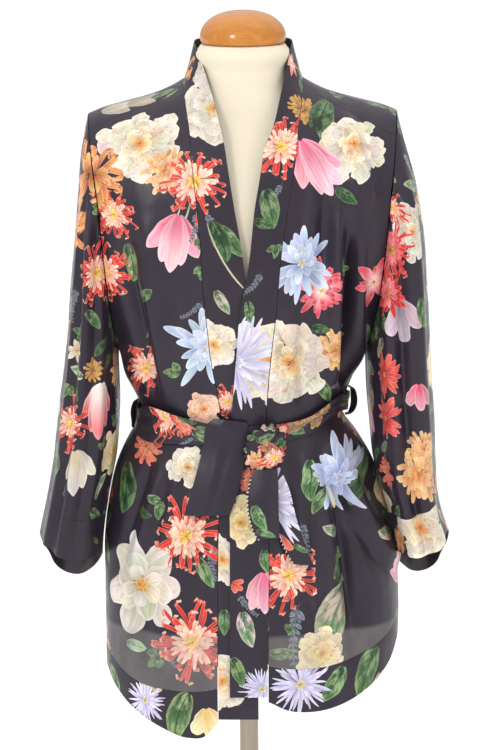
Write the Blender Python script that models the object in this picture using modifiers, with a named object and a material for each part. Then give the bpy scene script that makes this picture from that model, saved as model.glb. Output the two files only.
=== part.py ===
"""A short printed satin kimono jacket, tied with its own belt, on a limbless dress form with a pole and a base.

Metres, +Z up. The front of the jacket faces -Y, and +X is the wearer's left. The origin is the middle of the base's
underside, so the jacket hangs between 0.60 and 1.50 m above the floor.
"""

import math

import bpy
import numpy as np

# Sizes of the stand, in metres
BASE_RADIUS = 0.155
BASE_HEIGHT = 0.012
POLE_RADIUS = 0.0123
FORM_BOTTOM = 0.748
NECK_TOP = 1.4937
CAP_RADIUS = 0.0553
CAP_BOTTOM = 1.4940
CAP_TOP = 1.5365

# Sizes of the cloth, in metres
WALL = 0.0012  # thickness of every piece of cloth
SEAM = 0.0003  # gap between two pieces at a seam
TOUCH = 0.0003  # gap between two hard pieces that rest on each other
UNDERARM_GAP = 0.0014  # further still where sleeve and body hang side by side
ARMHOLE_GAP = 0.0004  # further gap where sleeve and body meet at an angle
UNDERARM = 1.100  # height where sleeve and body part
CHEST = 1.300  # above this height the body rounds over into the shoulders
CREST = 1.456  # height of the shoulders beside the neck
CREST_Y = 0.005  # how far behind the pole the shoulders' crest runs
BORDER = 0.052  # depth of the separate borders at hem and sleeves
OVERLAP_LIFT = 0.0042  # how far the upper front lies off the lower one
BELT_LIFT = 0.0030  # how far the belt lies off the fronts

# Cross-sections of the dress form: height, half-width, depth in front, depth behind
FORM_SECTIONS = (
    (FORM_BOTTOM, 0.150, 0.102, 0.108),
    (0.754, 0.156, 0.107, 0.113),
    (0.800, 0.160, 0.111, 0.117),
    (0.850, 0.159, 0.111, 0.116),
    (0.900, 0.151, 0.106, 0.108),
    (0.960, 0.131, 0.094, 0.090),
    (1.015, 0.116, 0.086, 0.079),
    (1.060, 0.122, 0.090, 0.083),
    (1.100, 0.135, 0.098, 0.088),
    (1.150, 0.149, 0.106, 0.093),
    (1.200, 0.160, 0.110, 0.097),
    (1.250, 0.169, 0.109, 0.099),
    (1.300, 0.177, 0.103, 0.098),
    (1.345, 0.181, 0.088, 0.090),
    (1.372, 0.179, 0.074, 0.080),
    (1.387, 0.170, 0.066, 0.072),
    (1.399, 0.148, 0.061, 0.067),
    (1.410, 0.117, 0.058, 0.063),
    (1.422, 0.089, 0.056, 0.060),
    (1.438, 0.066, 0.054, 0.058),
    (1.460, 0.0570, 0.054, 0.057),
    (1.4905, 0.0555, 0.054, 0.057),
    (NECK_TOP, 0.0510, 0.050, 0.052),
)

# Cross-sections of the cloth: height, half-width to the wearer's right and left, depth in front and behind
CLOTH_SECTIONS = (
    (0.590, 0.184, 0.190, 0.136, 0.132),
    (0.640, 0.185, 0.193, 0.135, 0.133),
    (0.700, 0.186, 0.195, 0.132, 0.134),
    (0.750, 0.186, 0.197, 0.128, 0.133),
    (0.800, 0.186, 0.196, 0.124, 0.130),
    (0.850, 0.186, 0.192, 0.121, 0.127),
    (0.900, 0.180, 0.180, 0.117, 0.120),
    (0.960, 0.165, 0.160, 0.108, 0.105),
    (0.990, 0.150, 0.142, 0.102, 0.097),
    (1.015, 0.133, 0.125, 0.099, 0.092),
    (1.040, 0.141, 0.129, 0.101, 0.094),
    (1.070, 0.156, 0.141, 0.107, 0.099),
    (UNDERARM, 0.1630, 0.1530, 0.113, 0.103),
    (1.130, 0.176, 0.169, 0.117, 0.107),
    (1.170, 0.193, 0.190, 0.120, 0.110),
    (1.220, 0.209, 0.210, 0.121, 0.112),
    (1.260, 0.217, 0.222, 0.120, 0.112),
    (CHEST, 0.222, 0.228, 0.116, 0.111),
    (1.350, 0.224, 0.230, 0.116, 0.111),
    (CREST, 0.224, 0.230, 0.116, 0.111),
)
PLAN_POWER = 2.3  # squareness of the cross-sections
SHOULDER_POWER_FRONT = 1.75
SHOULDER_POWER_BACK = 2.6

# Crest of the shoulders: distance from the middle, height
CREST_LINE = (
    (0.000, 1.458),
    (0.060, 1.456),
    (0.076, 1.4485),
    (0.090, 1.4405),
    (0.105, 1.4335),
    (0.120, 1.4285),
    (0.150, 1.4205),
    (0.180, 1.4125),
    (0.200, 1.4045),
    (0.235, 1.3900),
)

# Armhole: level on the cloth, distance of the seam from the middle on the wearer's right and left
ARMHOLE = (
    (UNDERARM, 0.1630, 0.1530),
    (1.115, 0.1660, 0.1575),
    (1.130, 0.1680, 0.1610),
    (1.170, 0.1730, 0.1690),
    (1.220, 0.1780, 0.1760),
    (CHEST, 0.1850, 0.1840),
    (1.380, 0.1930, 0.1910),
    (CREST, 0.1985, 0.1955),
)

# Shoulder seam: share of the shoulder's height where it meets the neckband, and the armhole step where it ends
SEAM_AT_NECK = 0.965
SEAM_STEP = {"right": 11, "left": 10}

# Lines of the neckbands: level, seam with the front, free edge, as distances along X
NECKBAND_RIGHT = (
    (0.590, -0.0396, 0.0125),
    (0.660, -0.0396, 0.0125),
    (0.870, -0.0374, 0.0150),
    (1.028, -0.0325, 0.0180),
    (1.062, -0.0367, 0.0180),
    (1.095, -0.0430, 0.0150),
    (1.144, -0.0484, 0.0090),
    (1.200, -0.0535, 0.0010),
    (1.240, -0.0552, -0.0030),
    (CHEST, -0.0600, -0.0130),
    (1.330, -0.0632, -0.0177),
    (1.371, -0.0671, -0.0240),
)
NECKBAND_LEFT = (
    (0.590, 0.0252, -0.0240),
    (0.685, 0.0252, -0.0238),
    (0.870, 0.0277, -0.0220),
    (1.020, 0.0255, -0.0194),
    (1.063, 0.0275, -0.0157),
    (1.118, 0.0330, -0.0108),
    (1.167, 0.0390, -0.0066),
    (1.200, 0.0420, 0.0005),
    (1.240, 0.0460, 0.0066),
    (CHEST, 0.0555, 0.0135),
    (1.338, 0.0620, 0.0205),
    (1.371, 0.0672, 0.0262),
)

# Free edge of the neckband where it leaves the chest: level at its seam, x on the wearer's right and left, y, z
NECK_EDGE = (
    (1.371, 0.0240, 0.0250, -0.0985, 1.3730),
    (1.395, 0.0290, 0.0370, -0.0880, 1.3960),
    (1.413, 0.0347, 0.0431, -0.0730, 1.4185),
    (1.430, 0.0430, 0.0500, -0.0520, 1.4460),
    (1.4505, 0.0545, 0.0580, -0.0220, 1.4800),
)
# Back neckline, from the middle towards the shoulder: x, share of the shoulder's height, free edge's x, y, z
BACK_NECKLINE = (
    (0.0000, 0.880, 0.0000, 0.0680, 1.4940),
    (0.0270, 0.885, 0.0260, 0.0650, 1.4945),
    (0.0490, 0.910, 0.0460, 0.0520, 1.4965),
    (0.0680, 0.965, 0.0600, 0.0250, 1.4975),
)
SEAM_NECK_X = 0.0757

# Hem: distance from the middle as a share of the half-width, height of the border's seam, height of the edge
HEM_RIGHT = (
    (0.00, 0.682, 0.634),
    (0.22, 0.680, 0.6345),
    (0.30, 0.677, 0.618),
    (0.42, 0.675, 0.614),
    (0.60, 0.676, 0.624),
    (0.75, 0.680, 0.638),
    (0.88, 0.692, 0.656),
    (0.96, 0.706, 0.674),
    (1.00, 0.716, 0.688),
)
HEM_LEFT = (
    (0.00, 0.712, 0.664),
    (0.12, 0.711, 0.664),
    (0.25, 0.706, 0.652),
    (0.42, 0.704, 0.647),
    (0.60, 0.708, 0.652),
    (0.75, 0.716, 0.664),
    (0.88, 0.728, 0.682),
    (0.96, 0.742, 0.702),
    (1.00, 0.756, 0.722),
)
HEM_BACK = (
    (-1.00, 0.716, 0.688),
    (-0.88, 0.700, 0.660),
    (-0.60, 0.692, 0.642),
    (0.00, 0.690, 0.638),
    (0.60, 0.700, 0.650),
    (0.88, 0.728, 0.684),
    (1.00, 0.756, 0.722),
)
BAND_END_RIGHT = 0.6400  # height where the lower neckband ends
BAND_END_LEFT = 0.6700  # height where the upper neckband ends

# Sleeves: height, outer edge, inner edge, middle along Y, half-depth
SLEEVE_RIGHT = (
    (0.760, 0.285, 0.196, -0.004, 0.090),
    (0.800, 0.279, 0.193, -0.004, 0.090),
    (0.860, 0.2705, 0.187, -0.006, 0.090),
    (0.913, 0.2590, 0.179, -0.008, 0.090),
    (0.968, 0.2492, 0.1690, -0.009, 0.089),
    (1.014, 0.2444, 0.1655, -0.009, 0.089),
    (1.086, 0.2340, 0.1655, -0.007, 0.088),
    (1.128, 0.2293, 0.1660, -0.005, 0.087),
    (1.178, 0.2257, 0.1680, -0.003, 0.086),
    (1.246, 0.2193, 0.1720, 0.000, 0.082),
    (1.300, 0.2150, 0.1760, 0.003, 0.073),
    (1.364, 0.2095, 0.1830, 0.005, 0.052),
    (1.404, 0.2020, 0.1930, 0.005, 0.020),
)
SLEEVE_LEFT = (
    (0.760, 0.280, 0.196, -0.004, 0.090),
    (0.800, 0.274, 0.194, -0.004, 0.090),
    (0.850, 0.2650, 0.190, -0.006, 0.090),
    (0.898, 0.2500, 0.180, -0.008, 0.090),
    (0.954, 0.2451, 0.1655, -0.009, 0.089),
    (1.006, 0.2437, 0.1610, -0.009, 0.089),
    (1.073, 0.2397, 0.1575, -0.007, 0.088),
    (1.141, 0.2370, 0.1580, -0.005, 0.087),
    (1.191, 0.2350, 0.1620, -0.003, 0.086),
    (1.259, 0.2304, 0.1680, 0.000, 0.082),
    (1.317, 0.2214, 0.1750, 0.003, 0.071),
    (1.377, 0.2054, 0.1830, 0.005, 0.046),
    (1.404, 0.1990, 0.1900, 0.005, 0.020),
)
SLEEVE_POWER = 2.2
SLEEVE_END = 0.8275  # mean height of a sleeve's edge
SLEEVE_END_FRONT = 0.0315  # how much higher it is in front than that, and lower behind
SLEEVE_END_OUT = 0.0135  # how much higher it is at its outer line, and lower at its inner line
SLEEVE_END_WAVE = 0.016
SLEEVE_CLEAR = 0.0040  # least distance between sleeve and skirt

# Folds of the body: side, x and z at the top, x and z at the bottom, height off the cloth, half-width top and bottom
BODY_FOLDS = (
    ("front", 0.1280, 1.395, 0.1580, 1.270, 0.0060, 0.014, 0.014),
    ("front", 0.0980, 1.350, 0.0950, 1.045, -0.0075, 0.016, 0.013),
    ("front", 0.1450, 1.290, 0.1230, 1.040, -0.0110, 0.015, 0.012),
    ("front", 0.1180, 1.250, 0.1080, 1.040, 0.0065, 0.013, 0.011),
    ("front", 0.0960, 1.010, 0.1380, 0.700, -0.0100, 0.011, 0.016),
    ("front", 0.0680, 1.005, 0.0980, 0.690, 0.0060, 0.011, 0.018),
    ("front", 0.1180, 1.005, 0.1740, 0.780, 0.0060, 0.010, 0.016),
    ("front", 0.0520, 0.990, 0.0640, 0.740, -0.0050, 0.010, 0.014),
    ("front", -0.1560, 1.290, -0.1130, 1.035, -0.0085, 0.015, 0.012),
    ("front", -0.1300, 1.330, -0.0960, 1.040, 0.0060, 0.018, 0.012),
    ("front", -0.0820, 1.200, -0.0780, 1.040, -0.0045, 0.014, 0.011),
    ("front", -0.1030, 1.000, -0.1460, 0.720, -0.0080, 0.011, 0.016),
    ("front", -0.0780, 1.000, -0.1140, 0.690, 0.0055, 0.011, 0.018),
    ("front", -0.0560, 0.990, -0.0680, 0.700, -0.0050, 0.010, 0.013),
    ("back", 0.0480, 1.290, 0.0380, 1.035, -0.0080, 0.014, 0.011),
    ("back", -0.0520, 1.300, -0.0400, 1.035, -0.0085, 0.015, 0.011),
    ("back", 0.1140, 1.310, 0.0900, 1.040, -0.0090, 0.015, 0.012),
    ("back", -0.1180, 1.290, -0.0940, 1.040, -0.0085, 0.015, 0.012),
    ("back", 0.0800, 1.270, 0.0640, 1.040, 0.0065, 0.014, 0.012),
    ("back", -0.0840, 1.250, -0.0660, 1.040, 0.0065, 0.014, 0.012),
    ("back", 0.0300, 0.998, 0.0420, 0.720, -0.0090, 0.012, 0.018),
    ("back", -0.0340, 0.998, -0.0480, 0.700, -0.0085, 0.012, 0.017),
    ("back", 0.0800, 0.998, 0.1220, 0.700, -0.0090, 0.012, 0.018),
    ("back", -0.0840, 0.998, -0.1260, 0.720, -0.0085, 0.012, 0.017),
    ("back", -0.0020, 0.998, -0.0040, 0.680, 0.0075, 0.012, 0.020),
    ("back", 0.0560, 0.998, 0.0820, 0.690, 0.0075, 0.012, 0.018),
    ("back", -0.0600, 0.998, -0.0860, 0.690, 0.0075, 0.012, 0.018),
)

# Folds of the sleeves: side, turn round the sleeve from its inner line towards the front, height at the top and at the
# bottom, height off the cloth, half-width in degrees
SLEEVE_FOLDS = (
    ("right", 132, 1.330, 0.800, 0.0060, 9),
    ("right", 112, 1.280, 0.830, -0.0060, 12),
    ("right", 78, 1.240, 0.860, 0.0045, 13),
    ("right", 44, 1.160, 0.860, -0.0050, 12),
    ("right", 228, 1.330, 0.780, -0.0060, 12),
    ("right", 262, 1.280, 0.780, 0.0060, 13),
    ("right", 300, 1.200, 0.790, -0.0060, 12),
    ("left", 128, 1.360, 0.800, 0.0075, 10),
    ("left", 108, 1.300, 0.820, -0.0080, 11),
    ("left", 74, 1.250, 0.860, 0.0060, 13),
    ("left", 40, 1.170, 0.850, -0.0060, 12),
    ("left", 232, 1.330, 0.780, -0.0065, 12),
    ("left", 266, 1.280, 0.780, 0.0060, 13),
    ("left", 304, 1.200, 0.790, -0.0060, 12),
)

# Belt round the waist: turn from the middle of the front towards the wearer's left, height of its middle, width
BELT_LINE = (
    (-180, 1.0200, 0.034),
    (-130, 1.0200, 0.032),
    (-95, 1.0160, 0.027),
    (-75, 1.0140, 0.026),
    (-55, 1.0150, 0.045),
    (-30, 1.0100, 0.034),
    (-8, 1.0060, 0.024),
    (12, 1.0080, 0.022),
    (35, 1.0160, 0.021),
    (58, 1.0370, 0.022),
    (80, 1.0340, 0.024),
    (100, 1.0260, 0.027),
    (140, 1.0200, 0.032),
    (180, 1.0200, 0.034),
)
BELT_SKIP = 0.5  # degrees left open behind the knot, where the belt's run begins and ends
BELT_START = 9  # degrees, the turn where the knot sits
KNOT_MIDDLE = (0.0235, 0.9920)  # x and z
KNOT_SIZE = (0.026, 0.013, 0.0265)
KNOT_LIFT = 0.0234  # how far the knot's middle lies off the front

# Plain tail of the belt: share of its length, x and z of its left edge, x and z of its right edge, distance off the
# front
PLAIN_TAIL = (
    (0.00, -0.0400, 1.0285, 0.0010, 1.0230, 0.0094),
    (0.08, -0.0485, 1.0220, 0.0015, 1.0150, 0.0114),
    (0.30, -0.0555, 0.9900, -0.0010, 0.9850, 0.0103),
    (0.60, -0.0665, 0.9500, -0.0090, 0.9440, 0.0100),
    (1.00, -0.0800, 0.9046, -0.0216, 0.9066, 0.0088),
)
# Printed tail of the belt, the same columns
PRINTED_TAIL = (
    (0.00, 0.0170, 0.9640, 0.0420, 0.9660, 0.0118),
    (0.25, 0.0250, 0.9330, 0.0545, 0.9370, 0.0096),
    (0.55, 0.0350, 0.8960, 0.0640, 0.8970, 0.0084),
    (0.80, 0.0470, 0.8650, 0.0740, 0.8660, 0.0078),
    (1.00, 0.0600, 0.8420, 0.0840, 0.8400, 0.0073),
)
# Hanging loop of the bow, the same columns
LOOP = (
    (0.00, 0.0090, 0.9664, 0.0390, 0.9664, 0.0240),
    (0.15, 0.0020, 0.9380, 0.0400, 0.9420, 0.0290),
    (0.32, 0.0030, 0.9100, 0.0380, 0.9150, 0.0290),
    (0.46, 0.0110, 0.8850, 0.0400, 0.8880, 0.0260),
    (0.50, 0.0150, 0.8790, 0.0410, 0.8800, 0.0228),
    (0.54, 0.0150, 0.8820, 0.0410, 0.8840, 0.0190),
    (0.68, 0.0080, 0.9100, 0.0400, 0.9150, 0.0168),
    (0.85, 0.0060, 0.9380, 0.0400, 0.9420, 0.0165),
    (1.00, 0.0100, 0.9665, 0.0390, 0.9665, 0.0170),
)
CARRIER_WIDTH = 0.006
CARRIER_HEIGHT = 0.036
CARRIER_LIFT = 0.0150
CARRIER_BASE = {"right": 0.00115, "left": 0.00222}

# Heights of the rows below the underarm, closer together at the waist
LOW_ROWS = (1.080, 1.060, 1.043, 1.029, 1.015, 1.001, 0.987, 0.970)

# Grid counts
ARM_STEPS = 14  # steps of the armhole from the underarm to the shoulder's tip, on either side
SKIRT_ROWS = 7
STRIP_ROWS = 4
FRONT_COLUMNS = 15
NECK_COLUMNS = 4
BACK_COLUMNS = 24
SLEEVE_TURNS = 2 * ARM_STEPS
SLEEVE_ROWS = 12
BORDER_ROWS = 2
BAND_COLUMNS = 3
BELT_TURNS = 46

# Colours
NAVY = (0.030, 0.024, 0.040)
CREAM = (0.86, 0.77, 0.60)
WOOD = (0.60, 0.27, 0.06)
CHROME = (0.62, 0.60, 0.57)


def smooth(value, xs, ys):
    """A smooth curve through a table's points, held at its ends."""
    value = np.clip(np.asarray(value, float), xs[0], xs[-1])
    xs = np.asarray(xs, float)
    ys = np.asarray(ys, float)
    slopes = np.gradient(ys, xs)
    i = np.clip(np.searchsorted(xs, value, side="right") - 1, 0, len(xs) - 2)
    step = xs[i + 1] - xs[i]
    t = (value - xs[i]) / step
    rise = 3 * t**2 - 2 * t**3
    return (
        ys[i] * (1 - rise)
        + ys[i + 1] * rise
        + slopes[i] * step * (t**3 - 2 * t**2 + t)
        + slopes[i + 1] * step * (t**3 - t**2)
    )


def column(table, x, index, key=0):
    """A table's column, read smoothly at x of its key column."""
    return smooth(x, [row[key] for row in table], [row[index] for row in table])


def ease(value, low, high):
    t = np.clip((np.asarray(value, float) - low) / (high - low), 0, 1)
    return t * t * (3 - 2 * t)


def half_width(x, level):
    right = column(CLOTH_SECTIONS, level, 1)
    left = column(CLOTH_SECTIONS, level, 2)
    return np.where(np.asarray(x) < 0, right, left)


def fold_height(side, x, z):
    """How far the folds of one side lift the cloth at x, z."""
    total = np.zeros(np.broadcast(x, z).shape)
    for where, x0, z0, x1, z1, height, wide0, wide1 in BODY_FOLDS:
        if where != side:
            continue
        along = (z0 - z) / (z0 - z1)
        inside = ease(along, 0, 0.30) * (1 - ease(along, 0.78, 1.02))
        t = np.clip(along, 0, 1.05)
        middle = x0 + (x1 - x0) * t
        wide = wide0 + (wide1 - wide0) * t
        total = total + height * inside * np.exp(-(((x - middle) / wide) ** 2))
    return total


def overlap_lift(x, z):
    """The upper front rises a little where it lies on the lower one."""
    low = 1 - ease(z, 1.195, 1.260)
    return OVERLAP_LIFT * low * (1 - ease(x, 0.032, 0.085))


def cloth_point(side, x, level, off=0.0, upper=False):
    """A point of the cloth: side is front or back, level is the height up to the chest and then runs up the shoulder."""
    x, level = np.broadcast_arrays(np.asarray(x, float), np.asarray(level, float))
    share = np.clip((level - CHEST) / (CREST - CHEST), 0, 1)
    z = np.where(
        level > CHEST,
        CHEST + (column(CREST_LINE, np.abs(x), 1) - CHEST) * share,
        level,
    )
    front = side == "front"
    depth = column(CLOTH_SECTIONS, level, 3 if front else 4)
    width = half_width(x, level)
    reach = np.clip(np.abs(x) / width, 0, 1)
    plan = (1 - reach**PLAN_POWER) ** (1 / PLAN_POWER)
    power = SHOULDER_POWER_FRONT if front else SHOULDER_POWER_BACK
    rounding = (1 - share**power) ** (1 / power)
    sign = -1.0 if front else 1.0
    y = sign * depth * plan * rounding + CREST_Y * ease(share, 0, 1)
    lift = off + fold_height(side, x, z) * (1 - ease(share, 0.75, 1.0))
    if upper:
        lift = lift + overlap_lift(x, z)
    out_x = np.sign(x) * reach ** (PLAN_POWER - 1) / width
    out_y = sign * np.maximum(plan, 1e-6) ** (PLAN_POWER - 1) / depth
    size = np.hypot(out_x, out_y)
    level_part = np.sqrt(np.clip(1 - share**2, 0, 1))
    return np.stack(
        [
            x + lift * out_x / size * level_part,
            y + lift * out_y / size * level_part,
            z + lift * share,
        ],
        axis=-1,
    )


def band_table(wearer):
    return NECKBAND_RIGHT if wearer == "right" else NECKBAND_LEFT


def hem_table(wearer):
    return HEM_RIGHT if wearer == "right" else HEM_LEFT


def sign_of(wearer):
    return -1.0 if wearer == "right" else 1.0


def armhole_x(wearer, level):
    return sign_of(wearer) * column(ARMHOLE, level, 1 if wearer == "right" else 2)


def side_x(wearer, level):
    """Where a front or back ends at its side: at the side seam below the underarm, at the armhole above it."""
    seam = sign_of(wearer) * half_width(sign_of(wearer), level)
    return np.where(level > UNDERARM, armhole_x(wearer, level), seam)


def shoulder_turn(level):
    """A level above the chest as a turn in degrees: 0 at the chest, 90 on the crest."""
    return math.degrees(math.asin(np.clip((level - CHEST) / (CREST - CHEST), 0, 1)))


def level_at(turn):
    return CHEST + (CREST - CHEST) * math.sin(math.radians(turn))


def armhole_level(step):
    return UNDERARM + (CREST - UNDERARM) * math.sin(step / ARM_STEPS * math.pi / 2) ** 1.25


def armhole_point(wearer, step):
    """A point of the armhole's seam: steps run from the underarm over the front to the tip and down the back."""

    def corner(whole):
        level = armhole_level(whole if whole <= ARM_STEPS else 2 * ARM_STEPS - whole)
        return cloth_point("front" if whole <= ARM_STEPS else "back", armhole_x(wearer, level), level)

    low = math.floor(step)
    part = step - low
    return corner(low) if part == 0 else corner(low) * (1 - part) + corner(low + 1) * part


def low_levels(bottom):
    """Levels of the rows from the underarm to a bottom edge."""
    return [UNDERARM, *LOW_ROWS, *np.linspace(LOW_ROWS[-1], bottom, SKIRT_ROWS + 1)[1:]]


def front_levels(wearer, t, bottom):
    """Levels of a front's rows at the share t from its neckband to its side."""
    steps = range(SEAM_STEP[wearer], 0, -1)
    far = shoulder_turn(armhole_level(SEAM_STEP[wearer]))
    near = shoulder_turn(CHEST + (CREST - CHEST) * SEAM_AT_NECK)
    stretch = 1 + (near / far - 1) * (1 - t)
    levels = []
    for step in steps:
        level = armhole_level(step)
        levels.append(level_at(shoulder_turn(level) * stretch) if level > CHEST else level)
    return np.array(levels + low_levels(bottom))


def inner_x(wearer, level):
    """The front's seam with its neckband, at every level up to the shoulder."""
    table = band_table(wearer)
    low = column(table, level, 1)
    end = sign_of(wearer) * SEAM_NECK_X
    t = ease(level, table[-1][0], CREST)
    return low * (1 - t) + end * t


def trim(points, edge, distance=SEAM / 2):
    """Shortens a grid along one edge, which keeps the seam open."""
    grid = points if edge in ("top", "bottom") else points.swapaxes(0, 1)
    first, second = (0, 1) if edge in ("top", "start") else (-1, -2)
    step = grid[second] - grid[first]
    grid[first] += step / np.linalg.norm(step, axis=1, keepdims=True) * distance


def front_column(wearer, t, levels):
    start, end = inner_x(wearer, levels), side_x(wearer, levels)
    return cloth_point("front", start + (end - start) * t, levels, upper=wearer == "left")


def hem_height(wearer, t, index):
    """Height of a hem line at the share t from the neckband to the side seam."""
    table = hem_table(wearer)
    start = abs(inner_x(wearer, table[0][index])) / half_width(sign_of(wearer), table[0][index])
    return float(column(table, start + (1 - start) * t, index))


def build_sheet(name, points, closed_across=False, thickness=WALL, material=None):
    """A grid of points as an open surface with a wall."""
    rows, columns = points.shape[:2]
    verts = points.reshape(-1, 3)
    faces = []
    last = columns if closed_across else columns - 1
    for i in range(rows - 1):
        for j in range(last):
            k = (j + 1) % columns
            faces.append((i * columns + j, (i + 1) * columns + j, (i + 1) * columns + k, i * columns + k))
    mesh = bpy.data.meshes.new(name)
    mesh.from_pydata([tuple(v) for v in verts], [], faces)
    mesh.shade_smooth()
    obj = bpy.data.objects.new(name, mesh)
    COLLECTION.objects.link(obj)
    wall = obj.modifiers.new("Wall", "SOLIDIFY")
    wall.thickness = thickness
    wall.offset = 0.0
    obj.data.materials.append(material or cloth_material(name))
    return obj


def principled(name, colour, roughness, metallic=0.0):
    material = bpy.data.materials.new(name)
    material.use_nodes = True
    shader = material.node_tree.nodes["Principled BSDF"]
    shader.inputs["Base Color"].default_value = (*colour, 1)
    shader.inputs["Roughness"].default_value = roughness
    shader.inputs["Metallic"].default_value = metallic
    material.diffuse_color = (*colour, 1)
    return material


def cloth_material(name):
    return principled(f"{name}_satin", NAVY, 0.42)


def make_fronts():
    for wearer in ("right", "left"):
        shares = np.linspace(0, 1, FRONT_COLUMNS + 1)
        lines = [front_column(wearer, t, front_levels(wearer, t, hem_height(wearer, t, 1))) for t in shares]
        points = np.stack(lines, axis=1)
        border = []
        for t in shares:
            levels = np.linspace(hem_height(wearer, t, 1), hem_height(wearer, t, 2), BORDER_ROWS + 1)
            border.append(front_column(wearer, t, levels))
        border = np.stack(border, axis=1)
        above = SEAM_STEP[wearer] + 1
        for grid, edges in ((points, ("top", "bottom", "start", "end")), (border, ("top", "start", "end"))):
            for edge in edges:
                trim(grid, edge)
        trim(points[:above], "end", ARMHOLE_GAP)
        if wearer == "right":
            points, border = points[:, ::-1], border[:, ::-1]
        build_sheet(f"front_{wearer}", points)
        build_sheet(f"hem_{wearer}", border)


def back_steps(wearer):
    """Steps of the armhole at the back's rows: its strip in front of the crest, then the rows behind."""
    strip = list(range(SEAM_STEP[wearer], ARM_STEPS + 1))
    if len(strip) == STRIP_ROWS:
        strip.insert(-1, ARM_STEPS - 0.5)
    return strip + list(range(ARM_STEPS + 1, 2 * ARM_STEPS + 1))


def back_column(j, bottom):
    """One line of the back, from its top over the shoulder's crest and down to the border."""
    reach = abs(2 * j / BACK_COLUMNS - 1)
    wearer = "right" if j < BACK_COLUMNS / 2 else "left"
    side = sign_of(wearer)
    steps = back_steps(wearer)
    neck = NECK_COLUMNS / (BACK_COLUMNS / 2)
    far = 180 - shoulder_turn(armhole_level(steps[0]))
    t = max(0.0, (reach - neck) / (1 - neck))
    if reach < neck - 1e-6:
        x_top, share = BACK_NECKLINE[round(reach / neck * NECK_COLUMNS)][:2]
        top = shoulder_turn(CHEST + (CREST - CHEST) * share)
    else:
        x_top = None
        near = 180 - shoulder_turn(CHEST + (CREST - CHEST) * SEAM_AT_NECK)
        top = near + (far - near) * t
    line = []
    for step in steps:
        own = armhole_level(step if step <= ARM_STEPS else 2 * ARM_STEPS - step)
        if own <= CHEST:
            level, turn = own, 0.0
        else:
            turn = shoulder_turn(own)
            turn = (180 - turn if step < ARM_STEPS else turn) * top / far
            level = level_at(min(turn, 180 - turn))
        arm = abs(armhole_x(wearer, level))
        high = SEAM_NECK_X + (arm - SEAM_NECK_X) * t if x_top is None else x_top
        mix = float(ease(turn, 0, min(top, 90)))
        x = high * mix + reach * arm * (1 - mix)
        line.append(cloth_point("front" if turn > 90 else "back", side * x, level))
    if t == 1.0:
        line = [armhole_point(wearer, step) for step in steps]
    for level in low_levels(bottom)[1:]:
        line.append(cloth_point("back", side * reach * abs(side_x(wearer, level)), level))
    return np.array(line)


def back_grid():
    lines = []
    for j in range(BACK_COLUMNS + 1):
        lines.append(back_column(j, float(column(HEM_BACK, 2 * j / BACK_COLUMNS - 1, 1))))
    return np.stack(lines, axis=1)


def make_back():
    points = back_grid()
    border = []
    for j in range(BACK_COLUMNS + 1):
        s = 2 * j / BACK_COLUMNS - 1
        levels = np.linspace(float(column(HEM_BACK, s, 1)), float(column(HEM_BACK, s, 2)), BORDER_ROWS + 1)
        border.append(cloth_point("back", s * half_width(s if s else 1, levels), levels))
    border = np.stack(border, axis=1)
    above = len(back_steps("left"))
    for grid, edges in ((points, ("top", "bottom", "start", "end")), (border, ("top", "start", "end"))):
        for edge in edges:
            trim(grid, edge, SEAM)
    trim(points[:above], "start", ARMHOLE_GAP)
    trim(points[:above], "end", ARMHOLE_GAP)
    build_sheet("back", points[:, ::-1])
    build_sheet("hem_back", border[:, ::-1])


def sleeve_section(wearer, turn, z):
    """A point of the sleeve's own form: turn 0 is its inner line, 90 the front, 180 the outer line."""
    table = SLEEVE_RIGHT if wearer == "right" else SLEEVE_LEFT
    rows = sorted(table)
    outer, inner = column(rows, z, 1), column(rows, z, 2)
    middle_y, depth = column(rows, z, 3), column(rows, z, 4)
    angle = np.radians(turn)
    c, s = np.cos(angle), np.sin(angle)
    across = np.sign(c) * np.abs(c) ** (2 / SLEEVE_POWER)
    along = np.sign(s) * np.abs(s) ** (2 / SLEEVE_POWER)
    middle, half = (outer + inner) / 2, (outer - inner) / 2
    lift = np.zeros(np.broadcast(turn, z).shape)
    for side, at, top, bottom, height, wide in SLEEVE_FOLDS:
        if side != wearer:
            continue
        inside = (1 - ease(z, top - 0.09, top)) * ease(z, bottom - 0.06, bottom + 0.10)
        lift = lift + height * inside * np.exp(-(((turn - at) / wide) ** 2))
    x = middle - (half + lift) * across
    y = middle_y - (depth + lift) * along
    return np.stack([sign_of(wearer) * x, y, z + 0 * x], axis=-1)


def sleeve_end(turn):
    """Height of the sleeve's edge at each turn: higher in front and outside, lower behind and inside."""
    a = math.radians(turn)
    lean = SLEEVE_END_FRONT * math.sin(a) - SLEEVE_END_OUT * math.cos(a)
    return SLEEVE_END + lean + SLEEVE_END_WAVE * math.cos(2 * a)


def skirt_reach(x, y, z):
    """How far out the body's side lies at this depth."""
    depth = np.where(y < 0, column(CLOTH_SECTIONS, z, 3), column(CLOTH_SECTIONS, z, 4))
    inside = np.clip(np.abs(y) / depth, 0, 1)
    return half_width(x, z) * (1 - inside**PLAN_POWER) ** (1 / PLAN_POWER)


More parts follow.
